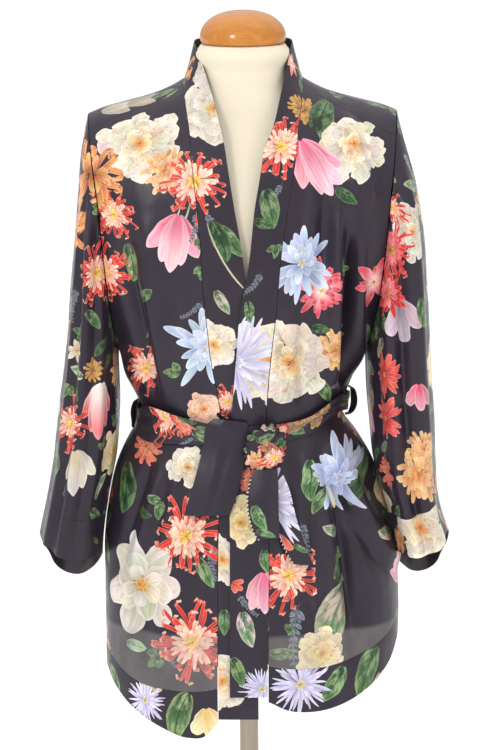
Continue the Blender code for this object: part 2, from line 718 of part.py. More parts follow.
def sleeve_grid(wearer, first, last, rows):
    """Rings of a sleeve between two shares of its length, kept clear of the skirt."""
    points = np.zeros((rows + 1, SLEEVE_TURNS, 3))
    for j in range(SLEEVE_TURNS):
        turn = 360 * j / SLEEVE_TURNS
        start = armhole_point(wearer, j)
        end = sleeve_end(turn)
        seam_at = end + BORDER
        for i in range(rows + 1):
            t = first + (last - first) * i / rows
            z = start[2] + (seam_at - start[2]) * t if t <= 1 else seam_at - BORDER * (t - 1)
            own = sleeve_section(wearer, turn, z)
            fade = (1 - min(t, 1)) ** 2.5
            shift = start - sleeve_section(wearer, turn, start[2])
            point = own + shift * fade
            if z < UNDERARM - 0.01:
                clear = skirt_reach(point[0], point[1], z) + SLEEVE_CLEAR
                clear = clear * float(ease(UNDERARM - z, 0.01, 0.10))
                point[0] = sign_of(wearer) * max(abs(point[0]), clear)
            points[i, j] = point
    return points


def make_sleeves():
    for wearer in ("right", "left"):
        points = sleeve_grid(wearer, 0.0, 1.0, SLEEVE_ROWS)
        trim(points, "top", 0.0002)
        steps = np.arange(SLEEVE_TURNS)
        low = 1 - ease(np.minimum(steps, SLEEVE_TURNS - steps), 5, 10)
        points[0, :, 0] += sign_of(wearer) * (ARMHOLE_GAP + UNDERARM_GAP * low)
        trim(points, "bottom")
        cuff = sleeve_grid(wearer, 1.0, 2.0, BORDER_ROWS)
        trim(cuff, "top")
        if wearer == "left":
            points, cuff = points[:, ::-1], cuff[:, ::-1]
        build_sheet(f"sleeve_{wearer}", points, closed_across=True)
        build_sheet(f"cuff_{wearer}", cuff, closed_across=True)


def band_row(wearer, level):
    """One line across a neckband on the front, from its seam to its free edge."""
    upper = wearer == "left"
    top = band_table(wearer)[-1][0]
    seam_x = inner_x(wearer, level)
    if level <= top:
        x = np.linspace(seam_x, column(band_table(wearer), level, 2), BAND_COLUMNS + 1)
        return cloth_point("front", x, level, upper=upper)
    seam = cloth_point("front", seam_x, level, upper=upper)
    index = 1 if wearer == "right" else 2
    free = np.array([column(NECK_EDGE, level, k) for k in (index, 3, 4)]) * (sign_of(wearer), 1, 1)
    return np.linspace(seam, free, BAND_COLUMNS + 1)


def make_neckbands():
    back = back_grid()
    middle = BACK_COLUMNS // 2
    for wearer, end in (("right", BAND_END_RIGHT), ("left", BAND_END_LEFT)):
        side = int(sign_of(wearer))
        low = [hem_height(wearer, 0, 2), (hem_height(wearer, 0, 2) + hem_height(wearer, 0, 1)) / 2]
        levels = [end] + [level for level in low if level > end + 0.01]
        levels += list(front_levels(wearer, 0, hem_height(wearer, 0, 1))[::-1])
        rows = [band_row(wearer, level) for level in levels]
        for k in range(NECK_COLUMNS - 1, -1, -1):
            seam = back[0, middle + side * k]
            free = np.array(BACK_NECKLINE[k][2:]) * (side, 1, 1)
            rows.append(np.linspace(seam, free, BAND_COLUMNS + 1))
        points = np.array(rows)
        points[-1, :, 0] += side * SEAM / 2
        trim(points, "start")
        trim(points[-NECK_COLUMNS - 3 :], "start", 0.0006)
        if wearer == "right":
            points = points[:, ::-1]
        build_sheet(f"neckband_{wearer}", points[:, ::-1])


def waist_point(turn, z, off):
    """A point round the waist, turn 0 in front and 90 at the wearer's left."""
    angle = math.radians(turn)
    side = math.sin(angle)
    reach = abs(side) ** (2 / PLAN_POWER)
    x = math.copysign(reach, side) * float(half_width(side, z))
    part = "front" if math.cos(angle) >= 0 else "back"
    point = cloth_point(part, x, z, off=off)
    return point


def make_belt():
    """The belt's run round the waist, an open strip whose two ends meet behind the knot."""
    rows = []
    for j in range(BELT_TURNS + 1):
        turn = BELT_START + BELT_SKIP + (360 - 2 * BELT_SKIP) * j / BELT_TURNS
        place = (turn + 180) % 360 - 180
        middle, width = float(column(BELT_LINE, place, 1)), float(column(BELT_LINE, place, 2))
        front = max(0.0, math.cos(math.radians(place)))
        off = BELT_LIFT + OVERLAP_LIFT * min(1.0, 3 * front)
        line = []
        for k in range(4):
            z = middle + width * (0.5 - k / 3)
            bulge = 0.0016 * math.sin(math.pi * k / 3)
            line.append(waist_point(place, z, off + bulge))
        # A belt is straight from edge to edge, so its lines lie no deeper than its outermost point.
        line = np.array(line)
        out = np.hypot(line[:, 0], line[:, 1])
        line[:, :2] *= (out.max() / out)[:, None] ** 0.5
        rows.append(line)
    build_sheet("belt_wrap", np.array(rows)[::-1], thickness=0.0018)


def strip_grid(table, rows, columns):
    """A strip that hangs off the front, from a table of its edges."""
    points = np.zeros((rows + 1, columns + 1, 3))
    for i in range(rows + 1):
        t = i / rows
        left = [float(column(table, t, k)) for k in (1, 2)]
        right = [float(column(table, t, k)) for k in (3, 4)]
        off = float(column(table, t, 5))
        for j in range(columns + 1):
            u = j / columns
            x, z = (left[k] + (right[k] - left[k]) * u for k in (0, 1))
            bow = 0.0022 * math.sin(math.pi * u)
            # Folds under a hanging strip don't print through, so it follows the plain form of the front.
            point = cloth_point("front", x, min(z, 1.03), off=0)
            plain = float(fold_height("front", x, z))
            point[1] += plain - off - bow
            point[2] = z
            points[i, j] = point
    return points


def make_tails():
    build_sheet("belt_tail_plain", strip_grid(PLAIN_TAIL, 10, 4))
    build_sheet("belt_tail_printed", strip_grid(PRINTED_TAIL, 10, 3))
    build_sheet("belt_loop", strip_grid(LOOP, 18, 3))


def make_knot():
    """The knot: a rounded lump with the turns of the belt as soft ridges."""
    front = cloth_point("front", KNOT_MIDDLE[0], KNOT_MIDDLE[1])
    middle = np.array([KNOT_MIDDLE[0], front[1] - KNOT_LIFT + 0.002, KNOT_MIDDLE[1]])
    bpy.ops.mesh.primitive_uv_sphere_add(segments=20, ring_count=12, radius=1)
    knot = bpy.context.object
    knot.name = knot.data.name = "belt_knot"
    for vertex in knot.data.vertices:
        p = np.array(vertex.co)
        ridge = 1 + 0.07 * math.cos(5 * p[0] + 3 * p[2]) + 0.04 * math.cos(9 * p[2] - 2 * p[0])
        flat = np.sign(p) * np.abs(p) ** 0.85
        vertex.co = middle + flat * KNOT_SIZE * ridge
    knot.data.shade_smooth()
    for holder in list(knot.users_collection):
        holder.objects.unlink(knot)
    COLLECTION.objects.link(knot)
    knot.data.materials.append(cloth_material("belt_knot"))


def make_carriers():
    """A narrow loop at each side seam that holds the belt."""
    for wearer, turn in (("right", -90), ("left", 90)):
        middle = float(column(BELT_LINE, turn, 1))
        rows = []
        count = 12
        for i in range(count + 1):
            a = math.pi * i / count
            z = middle + CARRIER_HEIGHT / 2 * math.cos(a)
            base = waist_point(turn, z, 0)
            off = CARRIER_BASE[wearer] + CARRIER_LIFT * math.sin(a) ** 0.7
            waist = waist_point(turn, middle, 0)
            reach = max(abs(base[0]), 0) * (1 - math.sin(a)) + abs(waist[0]) * math.sin(a)
            x = sign_of(wearer) * (reach + off)
            rows.append([(x, y, z) for y in (-CARRIER_WIDTH / 2, CARRIER_WIDTH / 2)])
        points = np.array(rows)
        if wearer == "right":
            points = points[:, ::-1]
        build_sheet(f"belt_carrier_{wearer}", points, thickness=0.0014)


def form_ring(section, count):
    z, width, front, back = section
    ring = []
    for j in range(count):
        a = 2 * math.pi * j / count
        c, s = math.cos(a), math.sin(a)
        x = math.copysign(abs(c) ** (2 / 2.2), c) * width
        y = math.copysign(abs(s) ** (2 / 2.2), s) * (back if s > 0 else front)
        ring.append((x, y, z))
    return ring


def make_form():
    """The dress form: rings at its sections, closed above and below."""
    count = 28
    heights = [row[0] for row in FORM_SECTIONS]
    rings = [form_ring(row, count) for row in FORM_SECTIONS]
    verts = [v for ring in rings for v in ring]
    faces = []
    for i in range(len(rings) - 1):
        for j in range(count):
            k = (j + 1) % count
            faces.append((i * count + j, i * count + k, (i + 1) * count + k, (i + 1) * count + j))
    faces.append(tuple(range(count))[::-1])
    faces.append(tuple((len(heights) - 1) * count + j for j in range(count)))
    mesh = bpy.data.meshes.new("form_torso")
    mesh.from_pydata(verts, [], faces)
    mesh.shade_smooth()
    obj = bpy.data.objects.new("form_torso", mesh)
    COLLECTION.objects.link(obj)
    mesh.materials.append(principled("linen_cover", CREAM, 0.85))


def turned(name, profile, material, steps=32):
    """A turned piece: its profile runs from the top down the outer side."""
    mesh = bpy.data.meshes.new(name)
    mesh.from_pydata([(r, 0, z) for r, z in profile], [(i, i + 1) for i in range(len(profile) - 1)], [])
    obj = bpy.data.objects.new(name, mesh)
    COLLECTION.objects.link(obj)
    screw = obj.modifiers.new("Turn", "SCREW")
    screw.steps = screw.render_steps = steps
    screw.use_merge_vertices = True
    screw.merge_threshold = 0.0001
    screw.use_smooth_shade = True
    mesh.materials.append(material)
    return obj


def make_neck_cap():
    """A flattened wooden dome with a small lower edge."""
    widest = CAP_BOTTOM + 0.0075
    dome = []
    for i in range(9):
        a = math.pi / 2 * (1 - i / 8)
        dome.append((CAP_RADIUS * math.cos(a) ** 0.85, widest + (CAP_TOP - widest) * math.sin(a)))
    dome[0] = (0.0, CAP_TOP)
    profile = dome + [(CAP_RADIUS - 0.0010, CAP_BOTTOM + 0.0025), (CAP_RADIUS - 0.0040, CAP_BOTTOM), (0.0, CAP_BOTTOM)]
    turned("form_neck_cap", profile, principled("turned_wood", WOOD, 0.35), steps=28)


def make_pole_and_base():
    chrome = principled("chrome_pole", CHROME, 0.12, 1.0)
    top, bottom = FORM_BOTTOM - TOUCH, BASE_HEIGHT + TOUCH
    pole = [(0.0, top), (POLE_RADIUS, top), (POLE_RADIUS, bottom), (0.0, bottom)]
    turned("form_pole", pole, chrome, steps=24)
    edge = 0.003
    base = [
        (0.0, BASE_HEIGHT),
        (BASE_RADIUS - edge, BASE_HEIGHT),
        (BASE_RADIUS, BASE_HEIGHT - edge),
        (BASE_RADIUS, 0.0),
        (0.0, 0.0),
    ]
    turned("form_base", base, principled("chrome_base", CHROME, 0.2, 1.0), steps=40)


def clear_scene():
    for obj in list(bpy.data.objects):
        bpy.data.objects.remove(obj, do_unlink=True)


clear_scene()
COLLECTION = bpy.data.collections.new("kimono_on_dress_form")
bpy.context.scene.collection.children.link(COLLECTION)

make_form()
make_neck_cap()
make_pole_and_base()
make_back()
make_fronts()
make_sleeves()
make_neckbands()
make_belt()
make_tails()
make_knot()
make_carriers()
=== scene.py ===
"""The looks of a short printed satin kimono jacket, tied with its own belt, on a limbless dress form.

Metres, +Z up. The front of the jacket faces -Y and +X is the wearer's left, as in the solid model. Every piece of
cloth is cut from a dense surface with flat coordinates, and its printed flowers are laid petal by petal on those.
"""

import math

import bpy
import numpy as np
from mathutils import Matrix, Vector
from mathutils.geometry import delaunay_2d_cdt


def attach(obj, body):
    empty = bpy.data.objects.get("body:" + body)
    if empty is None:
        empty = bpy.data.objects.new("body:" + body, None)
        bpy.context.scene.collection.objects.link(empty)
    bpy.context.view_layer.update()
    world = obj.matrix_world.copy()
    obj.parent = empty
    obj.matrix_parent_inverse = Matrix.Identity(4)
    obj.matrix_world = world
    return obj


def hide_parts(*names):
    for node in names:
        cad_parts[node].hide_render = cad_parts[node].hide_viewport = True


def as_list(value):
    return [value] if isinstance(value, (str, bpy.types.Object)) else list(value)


bl_info = {
    "name": "Kimono jacket on a dress form",
    "version": (1, 0, 0),
    "blender": (4, 5, 0),
    "location": "3D View > Sidebar > Kimono",
    "description": "Builds a printed satin kimono jacket and the dress form that carries it",
    "category": "Object",
}

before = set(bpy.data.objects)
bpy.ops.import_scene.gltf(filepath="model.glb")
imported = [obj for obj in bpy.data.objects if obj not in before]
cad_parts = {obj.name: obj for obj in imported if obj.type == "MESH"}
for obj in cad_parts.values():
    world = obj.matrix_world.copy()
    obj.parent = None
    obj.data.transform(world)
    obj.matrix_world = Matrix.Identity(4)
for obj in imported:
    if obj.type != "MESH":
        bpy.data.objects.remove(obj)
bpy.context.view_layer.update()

# Sizes of the stand, in metres
BASE_RADIUS = 0.155
BASE_HEIGHT = 0.012
POLE_RADIUS = 0.0123
FORM_BOTTOM = 0.748
NECK_TOP = 1.4937
CAP_RADIUS = 0.0553
CAP_BOTTOM = 1.4940
CAP_TOP = 1.5365

# Sizes of the cloth, in metres
WALL = 0.0012  # thickness of every piece of cloth
SEAM = 0.0003  # gap between two pieces at a seam
TOUCH = 0.0003  # gap between two hard pieces that rest on each other
UNDERARM_GAP = 0.0014  # further still where sleeve and body hang side by side
ARMHOLE_GAP = 0.0004  # further gap where sleeve and body meet at an angle
UNDERARM = 1.100  # height where sleeve and body part
CHEST = 1.300  # above this height the body rounds over into the shoulders
CREST = 1.456  # height of the shoulders beside the neck
CREST_Y = 0.005  # how far behind the pole the shoulders' crest runs
BORDER = 0.052  # depth of the separate borders at hem and sleeves
OVERLAP_LIFT = 0.0042  # how far the upper front lies off the lower one
BELT_LIFT = 0.0030  # how far the belt lies off the fronts

# Cross-sections of the dress form: height, half-width, depth in front, depth behind
FORM_SECTIONS = (
    (FORM_BOTTOM, 0.150, 0.102, 0.108),
    (0.754, 0.156, 0.107, 0.113),
    (0.800, 0.160, 0.111, 0.117),
    (0.850, 0.159, 0.111, 0.116),
    (0.900, 0.151, 0.106, 0.108),
    (0.960, 0.131, 0.094, 0.090),
    (1.015, 0.116, 0.086, 0.079),
    (1.060, 0.122, 0.090, 0.083),
    (1.100, 0.135, 0.098, 0.088),
    (1.150, 0.149, 0.106, 0.093),
    (1.200, 0.160, 0.110, 0.097),
    (1.250, 0.169, 0.109, 0.099),
    (1.300, 0.177, 0.103, 0.098),
    (1.345, 0.181, 0.088, 0.090),
    (1.372, 0.179, 0.074, 0.080),
    (1.387, 0.170, 0.066, 0.072),
    (1.399, 0.148, 0.061, 0.067),
    (1.410, 0.117, 0.058, 0.063),
    (1.422, 0.089, 0.056, 0.060),
    (1.438, 0.066, 0.054, 0.058),
    (1.460, 0.0570, 0.054, 0.057),
    (1.4905, 0.0555, 0.054, 0.057),
    (NECK_TOP, 0.0510, 0.050, 0.052),
)

# Cross-sections of the cloth: height, half-width to the wearer's right and left, depth in front and behind
CLOTH_SECTIONS = (
    (0.590, 0.184, 0.190, 0.136, 0.132),
    (0.640, 0.185, 0.193, 0.135, 0.133),
    (0.700, 0.186, 0.195, 0.132, 0.134),
    (0.750, 0.186, 0.197, 0.128, 0.133),
    (0.800, 0.186, 0.196, 0.124, 0.130),
    (0.850, 0.186, 0.192, 0.121, 0.127),
    (0.900, 0.180, 0.180, 0.117, 0.120),
    (0.960, 0.165, 0.160, 0.108, 0.105),
    (0.990, 0.150, 0.142, 0.102, 0.097),
    (1.015, 0.133, 0.125, 0.099, 0.092),
    (1.040, 0.141, 0.129, 0.101, 0.094),
    (1.070, 0.156, 0.141, 0.107, 0.099),
    (UNDERARM, 0.1630, 0.1530, 0.113, 0.103),
    (1.130, 0.176, 0.169, 0.117, 0.107),
    (1.170, 0.193, 0.190, 0.120, 0.110),
    (1.220, 0.209, 0.210, 0.121, 0.112),
    (1.260, 0.217, 0.222, 0.120, 0.112),
    (CHEST, 0.222, 0.228, 0.116, 0.111),
    (1.350, 0.224, 0.230, 0.116, 0.111),
    (CREST, 0.224, 0.230, 0.116, 0.111),
)
PLAN_POWER = 2.3  # squareness of the cross-sections
SHOULDER_POWER_FRONT = 1.75
SHOULDER_POWER_BACK = 2.6

# Crest of the shoulders: distance from the middle, height
CREST_LINE = (
    (0.000, 1.458),
    (0.060, 1.456),
    (0.076, 1.4485),
    (0.090, 1.4405),
    (0.105, 1.4335),
    (0.120, 1.4285),
    (0.150, 1.4205),
    (0.180, 1.4125),
    (0.200, 1.4045),
    (0.235, 1.3900),
)

# Armhole: level on the cloth, distance of the seam from the middle on the wearer's right and left
ARMHOLE = (
    (UNDERARM, 0.1630, 0.1530),
    (1.115, 0.1660, 0.1575),
    (1.130, 0.1680, 0.1610),
    (1.170, 0.1730, 0.1690),
    (1.220, 0.1780, 0.1760),
    (CHEST, 0.1850, 0.1840),
    (1.380, 0.1930, 0.1910),
    (CREST, 0.1985, 0.1955),
)

# Shoulder seam: share of the shoulder's height where it meets the neckband, and the armhole step where it ends
SEAM_AT_NECK = 0.965
SEAM_STEP = {"right": 11, "left": 10}

# Lines of the neckbands: level, seam with the front, free edge, as distances along X
NECKBAND_RIGHT = (
    (0.590, -0.0396, 0.0125),
    (0.660, -0.0396, 0.0125),
    (0.870, -0.0374, 0.0150),
    (1.028, -0.0325, 0.0180),
    (1.062, -0.0367, 0.0180),
    (1.095, -0.0430, 0.0150),
    (1.144, -0.0484, 0.0090),
    (1.200, -0.0535, 0.0010),
    (1.240, -0.0552, -0.0030),
    (CHEST, -0.0600, -0.0130),
    (1.330, -0.0632, -0.0177),
    (1.371, -0.0671, -0.0240),
)
NECKBAND_LEFT = (
    (0.590, 0.0252, -0.0240),
    (0.685, 0.0252, -0.0238),
    (0.870, 0.0277, -0.0220),
    (1.020, 0.0255, -0.0194),
    (1.063, 0.0275, -0.0157),
    (1.118, 0.0330, -0.0108),
    (1.167, 0.0390, -0.0066),
    (1.200, 0.0420, 0.0005),
    (1.240, 0.0460, 0.0066),
    (CHEST, 0.0555, 0.0135),
    (1.338, 0.0620, 0.0205),
    (1.371, 0.0672, 0.0262),
)

# Free edge of the neckband where it leaves the chest: level at its seam, x on the wearer's right and left, y, z
NECK_EDGE = (
    (1.371, 0.0240, 0.0250, -0.0985, 1.3730),
    (1.395, 0.0290, 0.0370, -0.0880, 1.3960),
    (1.413, 0.0347, 0.0431, -0.0730, 1.4185),
    (1.430, 0.0430, 0.0500, -0.0520, 1.4460),
    (1.4505, 0.0545, 0.0580, -0.0220, 1.4800),
)
# Back neckline, from the middle towards the shoulder: x, share of the shoulder's height, free edge's x, y, z
BACK_NECKLINE = (
    (0.0000, 0.880, 0.0000, 0.0680, 1.4940),
    (0.0270, 0.885, 0.0260, 0.0650, 1.4945),
    (0.0490, 0.910, 0.0460, 0.0520, 1.4965),
    (0.0680, 0.965, 0.0600, 0.0250, 1.4975),
)
SEAM_NECK_X = 0.0757

# Hem: distance from the middle as a share of the half-width, height of the border's seam, height of the edge
HEM_RIGHT = (
    (0.00, 0.682, 0.634),
    (0.22, 0.680, 0.6345),
    (0.30, 0.677, 0.618),
    (0.42, 0.675, 0.614),
    (0.60, 0.676, 0.624),
    (0.75, 0.680, 0.638),
    (0.88, 0.692, 0.656),
    (0.96, 0.706, 0.674),
    (1.00, 0.716, 0.688),
)
HEM_LEFT = (
    (0.00, 0.712, 0.664),
    (0.12, 0.711, 0.664),
    (0.25, 0.706, 0.652),
    (0.42, 0.704, 0.647),
    (0.60, 0.708, 0.652),
    (0.75, 0.716, 0.664),
    (0.88, 0.728, 0.682),
    (0.96, 0.742, 0.702),
    (1.00, 0.756, 0.722),
)
HEM_BACK = (
    (-1.00, 0.716, 0.688),
    (-0.88, 0.700, 0.660),
    (-0.60, 0.692, 0.642),
    (0.00, 0.690, 0.638),
    (0.60, 0.700, 0.650),
    (0.88, 0.728, 0.684),
    (1.00, 0.756, 0.722),
)
BAND_END_RIGHT = 0.6400  # height where the lower neckband ends
BAND_END_LEFT = 0.6700  # height where the upper neckband ends

# Sleeves: height, outer edge, inner edge, middle along Y, half-depth
SLEEVE_RIGHT = (
    (0.760, 0.285, 0.196, -0.004, 0.090),
    (0.800, 0.279, 0.193, -0.004, 0.090),
    (0.860, 0.2705, 0.187, -0.006, 0.090),
    (0.913, 0.2590, 0.179, -0.008, 0.090),
    (0.968, 0.2492, 0.1690, -0.009, 0.089),
    (1.014, 0.2444, 0.1655, -0.009, 0.089),
    (1.086, 0.2340, 0.1655, -0.007, 0.088),
    (1.128, 0.2293, 0.1660, -0.005, 0.087),
    (1.178, 0.2257, 0.1680, -0.003, 0.086),
    (1.246, 0.2193, 0.1720, 0.000, 0.082),
    (1.300, 0.2150, 0.1760, 0.003, 0.073),
    (1.364, 0.2095, 0.1830, 0.005, 0.052),
    (1.404, 0.2020, 0.1930, 0.005, 0.020),
)
SLEEVE_LEFT = (
    (0.760, 0.280, 0.196, -0.004, 0.090),
    (0.800, 0.274, 0.194, -0.004, 0.090),
    (0.850, 0.2650, 0.190, -0.006, 0.090),
    (0.898, 0.2500, 0.180, -0.008, 0.090),
    (0.954, 0.2451, 0.1655, -0.009, 0.089),
    (1.006, 0.2437, 0.1610, -0.009, 0.089),
    (1.073, 0.2397, 0.1575, -0.007, 0.088),
    (1.141, 0.2370, 0.1580, -0.005, 0.087),
    (1.191, 0.2350, 0.1620, -0.003, 0.086),
    (1.259, 0.2304, 0.1680, 0.000, 0.082),
    (1.317, 0.2214, 0.1750, 0.003, 0.071),
    (1.377, 0.2054, 0.1830, 0.005, 0.046),
    (1.404, 0.1990, 0.1900, 0.005, 0.020),
)
SLEEVE_POWER = 2.2
SLEEVE_END = 0.8275  # mean height of a sleeve's edge
SLEEVE_END_FRONT = 0.0315  # how much higher it is in front than that, and lower behind
SLEEVE_END_OUT = 0.0135  # how much higher it is at its outer line, and lower at its inner line
SLEEVE_END_WAVE = 0.016
SLEEVE_CLEAR = 0.0040  # least distance between sleeve and skirt

# Folds of the body: side, x and z at the top, x and z at the bottom, height off the cloth, half-width top and bottom
BODY_FOLDS = (
    ("front", 0.1280, 1.395, 0.1580, 1.270, 0.0060, 0.014, 0.014),
    ("front", 0.0980, 1.350, 0.0950, 1.045, -0.0075, 0.016, 0.013),
    ("front", 0.1450, 1.290, 0.1230, 1.040, -0.0110, 0.015, 0.012),
    ("front", 0.1180, 1.250, 0.1080, 1.040, 0.0065, 0.013, 0.011),
    ("front", 0.0960, 1.010, 0.1380, 0.700, -0.0100, 0.011, 0.016),
    ("front", 0.0680, 1.005, 0.0980, 0.690, 0.0060, 0.011, 0.018),
    ("front", 0.1180, 1.005, 0.1740, 0.780, 0.0060, 0.010, 0.016),
    ("front", 0.0520, 0.990, 0.0640, 0.740, -0.0050, 0.010, 0.014),
    ("front", -0.1560, 1.290, -0.1130, 1.035, -0.0085, 0.015, 0.012),
    ("front", -0.1300, 1.330, -0.0960, 1.040, 0.0060, 0.018, 0.012),
    ("front", -0.0820, 1.200, -0.0780, 1.040, -0.0045, 0.014, 0.011),
    ("front", -0.1030, 1.000, -0.1460, 0.720, -0.0080, 0.011, 0.016),
    ("front", -0.0780, 1.000, -0.1140, 0.690, 0.0055, 0.011, 0.018),
    ("front", -0.0560, 0.990, -0.0680, 0.700, -0.0050, 0.010, 0.013),
    ("back", 0.0480, 1.290, 0.0380, 1.035, -0.0080, 0.014, 0.011),
    ("back", -0.0520, 1.300, -0.0400, 1.035, -0.0085, 0.015, 0.011),
    ("back", 0.1140, 1.310, 0.0900, 1.040, -0.0090, 0.015, 0.012),
    ("back", -0.1180, 1.290, -0.0940, 1.040, -0.0085, 0.015, 0.012),
    ("back", 0.0800, 1.270, 0.0640, 1.040, 0.0065, 0.014, 0.012),
    ("back", -0.0840, 1.250, -0.0660, 1.040, 0.0065, 0.014, 0.012),
    ("back", 0.0300, 0.998, 0.0420, 0.720, -0.0090, 0.012, 0.018),
    ("back", -0.0340, 0.998, -0.0480, 0.700, -0.0085, 0.012, 0.017),
    ("back", 0.0800, 0.998, 0.1220, 0.700, -0.0090, 0.012, 0.018),
    ("back", -0.0840, 0.998, -0.1260, 0.720, -0.0085, 0.012, 0.017),
    ("back", -0.0020, 0.998, -0.0040, 0.680, 0.0075, 0.012, 0.020),
    ("back", 0.0560, 0.998, 0.0820, 0.690, 0.0075, 0.012, 0.018),
    ("back", -0.0600, 0.998, -0.0860, 0.690, 0.0075, 0.012, 0.018),
)

# Folds of the sleeves: side, turn round the sleeve from its inner line towards the front, height at the top and at the
# bottom, height off the cloth, half-width in degrees
SLEEVE_FOLDS = (
    ("right", 132, 1.330, 0.800, 0.0060, 9),
    ("right", 112, 1.280, 0.830, -0.0060, 12),
    ("right", 78, 1.240, 0.860, 0.0045, 13),
    ("right", 44, 1.160, 0.860, -0.0050, 12),
    ("right", 228, 1.330, 0.780, -0.0060, 12),
    ("right", 262, 1.280, 0.780, 0.0060, 13),
    ("right", 300, 1.200, 0.790, -0.0060, 12),
    ("left", 128, 1.360, 0.800, 0.0075, 10),
    ("left", 108, 1.300, 0.820, -0.0080, 11),
    ("left", 74, 1.250, 0.860, 0.0060, 13),
    ("left", 40, 1.170, 0.850, -0.0060, 12),
    ("left", 232, 1.330, 0.780, -0.0065, 12),
    ("left", 266, 1.280, 0.780, 0.0060, 13),
    ("left", 304, 1.200, 0.790, -0.0060, 12),
)

# Belt round the waist: turn from the middle of the front towards the wearer's left, height of its middle, width
BELT_LINE = (
    (-180, 1.0200, 0.034),
    (-130, 1.0200, 0.032),
    (-95, 1.0160, 0.027),
    (-75, 1.0140, 0.026),
    (-55, 1.0150, 0.045),
    (-30, 1.0100, 0.034),
    (-8, 1.0060, 0.024),
    (12, 1.0080, 0.022),
    (35, 1.0160, 0.021),
    (58, 1.0370, 0.022),
    (80, 1.0340, 0.024),
    (100, 1.0260, 0.027),
    (140, 1.0200, 0.032),
    (180, 1.0200, 0.034),
)
BELT_SKIP = 0.5  # degrees left open behind the knot, where the belt's run begins and ends
BELT_START = 9  # degrees, the turn where the knot sits
KNOT_MIDDLE = (0.0235, 0.9920)  # x and z
KNOT_SIZE = (0.026, 0.013, 0.0265)
KNOT_LIFT = 0.0234  # how far the knot's middle lies off the front

# Plain tail of the belt: share of its length, x and z of its left edge, x and z of its right edge, distance off the
# front
PLAIN_TAIL = (
    (0.00, -0.0400, 1.0285, 0.0010, 1.0230, 0.0094),
    (0.08, -0.0485, 1.0220, 0.0015, 1.0150, 0.0114),
    (0.30, -0.0555, 0.9900, -0.0010, 0.9850, 0.0103),
    (0.60, -0.0665, 0.9500, -0.0090, 0.9440, 0.0100),
    (1.00, -0.0800, 0.9046, -0.0216, 0.9066, 0.0088),
)
# Printed tail of the belt, the same columns
PRINTED_TAIL = (
    (0.00, 0.0170, 0.9640, 0.0420, 0.9660, 0.0118),
    (0.25, 0.0250, 0.9330, 0.0545, 0.9370, 0.0096),
    (0.55, 0.0350, 0.8960, 0.0640, 0.8970, 0.0084),
    (0.80, 0.0470, 0.8650, 0.0740, 0.8660, 0.0078),
    (1.00, 0.0600, 0.8420, 0.0840, 0.8400, 0.0073),
)
# Hanging loop of the bow, the same columns
LOOP = (
    (0.00, 0.0090, 0.9664, 0.0390, 0.9664, 0.0240),
    (0.15, 0.0020, 0.9380, 0.0400, 0.9420, 0.0290),
    (0.32, 0.0030, 0.9100, 0.0380, 0.9150, 0.0290),
    (0.46, 0.0110, 0.8850, 0.0400, 0.8880, 0.0260),
    (0.50, 0.0150, 0.8790, 0.0410, 0.8800, 0.0228),
    (0.54, 0.0150, 0.8820, 0.0410, 0.8840, 0.0190),
    (0.68, 0.0080, 0.9100, 0.0400, 0.9150, 0.0168),
    (0.85, 0.0060, 0.9380, 0.0400, 0.9420, 0.0165),
    (1.00, 0.0100, 0.9665, 0.0390, 0.9665, 0.0170),
)

# Finer creases of the body, in the same columns
BODY_CREASES = (
    ("front", -0.1520, 1.255, -0.1150, 1.040, -0.0054, 0.008, 0.008),
    ("front", -0.1360, 1.245, -0.1010, 1.040, 0.0061, 0.009, 0.008),
    ("front", 0.1200, 1.300, 0.1120, 1.045, 0.0082, 0.008, 0.008),
    ("front", 0.1330, 1.300, 0.1260, 1.045, -0.0128, 0.009, 0.008),
    ("front", 0.1470, 1.300, 0.1420, 1.060, 0.0109, 0.008, 0.008),
    ("front", 0.1270, 1.420, 0.1600, 1.290, 0.0100, 0.010, 0.011),
    ("front", 0.1080, 1.400, 0.1020, 1.200, -0.0082, 0.011, 0.012),
    ("front", 0.0449, 1.180, 0.0441, 1.035, -0.0061, 0.008, 0.008),
    ("front", 0.0580, 1.200, 0.0570, 1.035, 0.0047, 0.008, 0.008),
    ("front", 0.0730, 1.160, 0.0720, 1.035, -0.0047, 0.008, 0.008),
    ("front", 0.0850, 0.985, 0.1850, 0.800, -0.0105, 0.008, 0.011),
    ("front", 0.1000, 0.995, 0.2060, 0.800, 0.0088, 0.008, 0.011),
    ("front", 0.1120, 0.975, 0.1420, 0.740, -0.0114, 0.008, 0.010),
    ("front", 0.0960, 0.975, 0.1240, 0.740, 0.0088, 0.008, 0.010),
    ("front", 0.0700, 0.960, 0.0900, 0.760, -0.0088, 0.008, 0.009),
    ("front", -0.0700, 0.985, -0.1250, 0.760, -0.0079, 0.008, 0.010),
    ("front", -0.1180, 0.985, -0.1770, 0.800, -0.0088, 0.008, 0.011),
    ("front", -0.1040, 0.985, -0.1580, 0.780, 0.0079, 0.008, 0.011),
)

# Finer creases of the sleeves, in the same columns
SLEEVE_CREASES = (
    ("right", 104, 1.330, 0.820, 0.0120, 10),
    ("right", 80, 1.300, 0.820, -0.0095, 11),
    ("left", 112, 1.340, 0.800, 0.0125, 9),
    ("left", 92, 1.340, 0.800, -0.0100, 9),
)

# Belt carriers at the side seams, in metres
CARRIER_BREADTH = 0.010
CARRIER_TWIST = 0.9  # radians, at the loop's outermost point
CARRIER_HEIGHT = 0.036
CARRIER_LIFT = 0.0150
CARRIER_BASE = {"right": 0.00115, "left": 0.00222}

# Turns of the belt that make the knot: lean in degrees, size, half-width as a share, reach in degrees, gathers, depth
KNOT_TURNS = (
    (-14, 0.98, 0.84, 96, 5, 0.055),
    (58, 1.12, 0.60, 94, 4, 0.070),
)

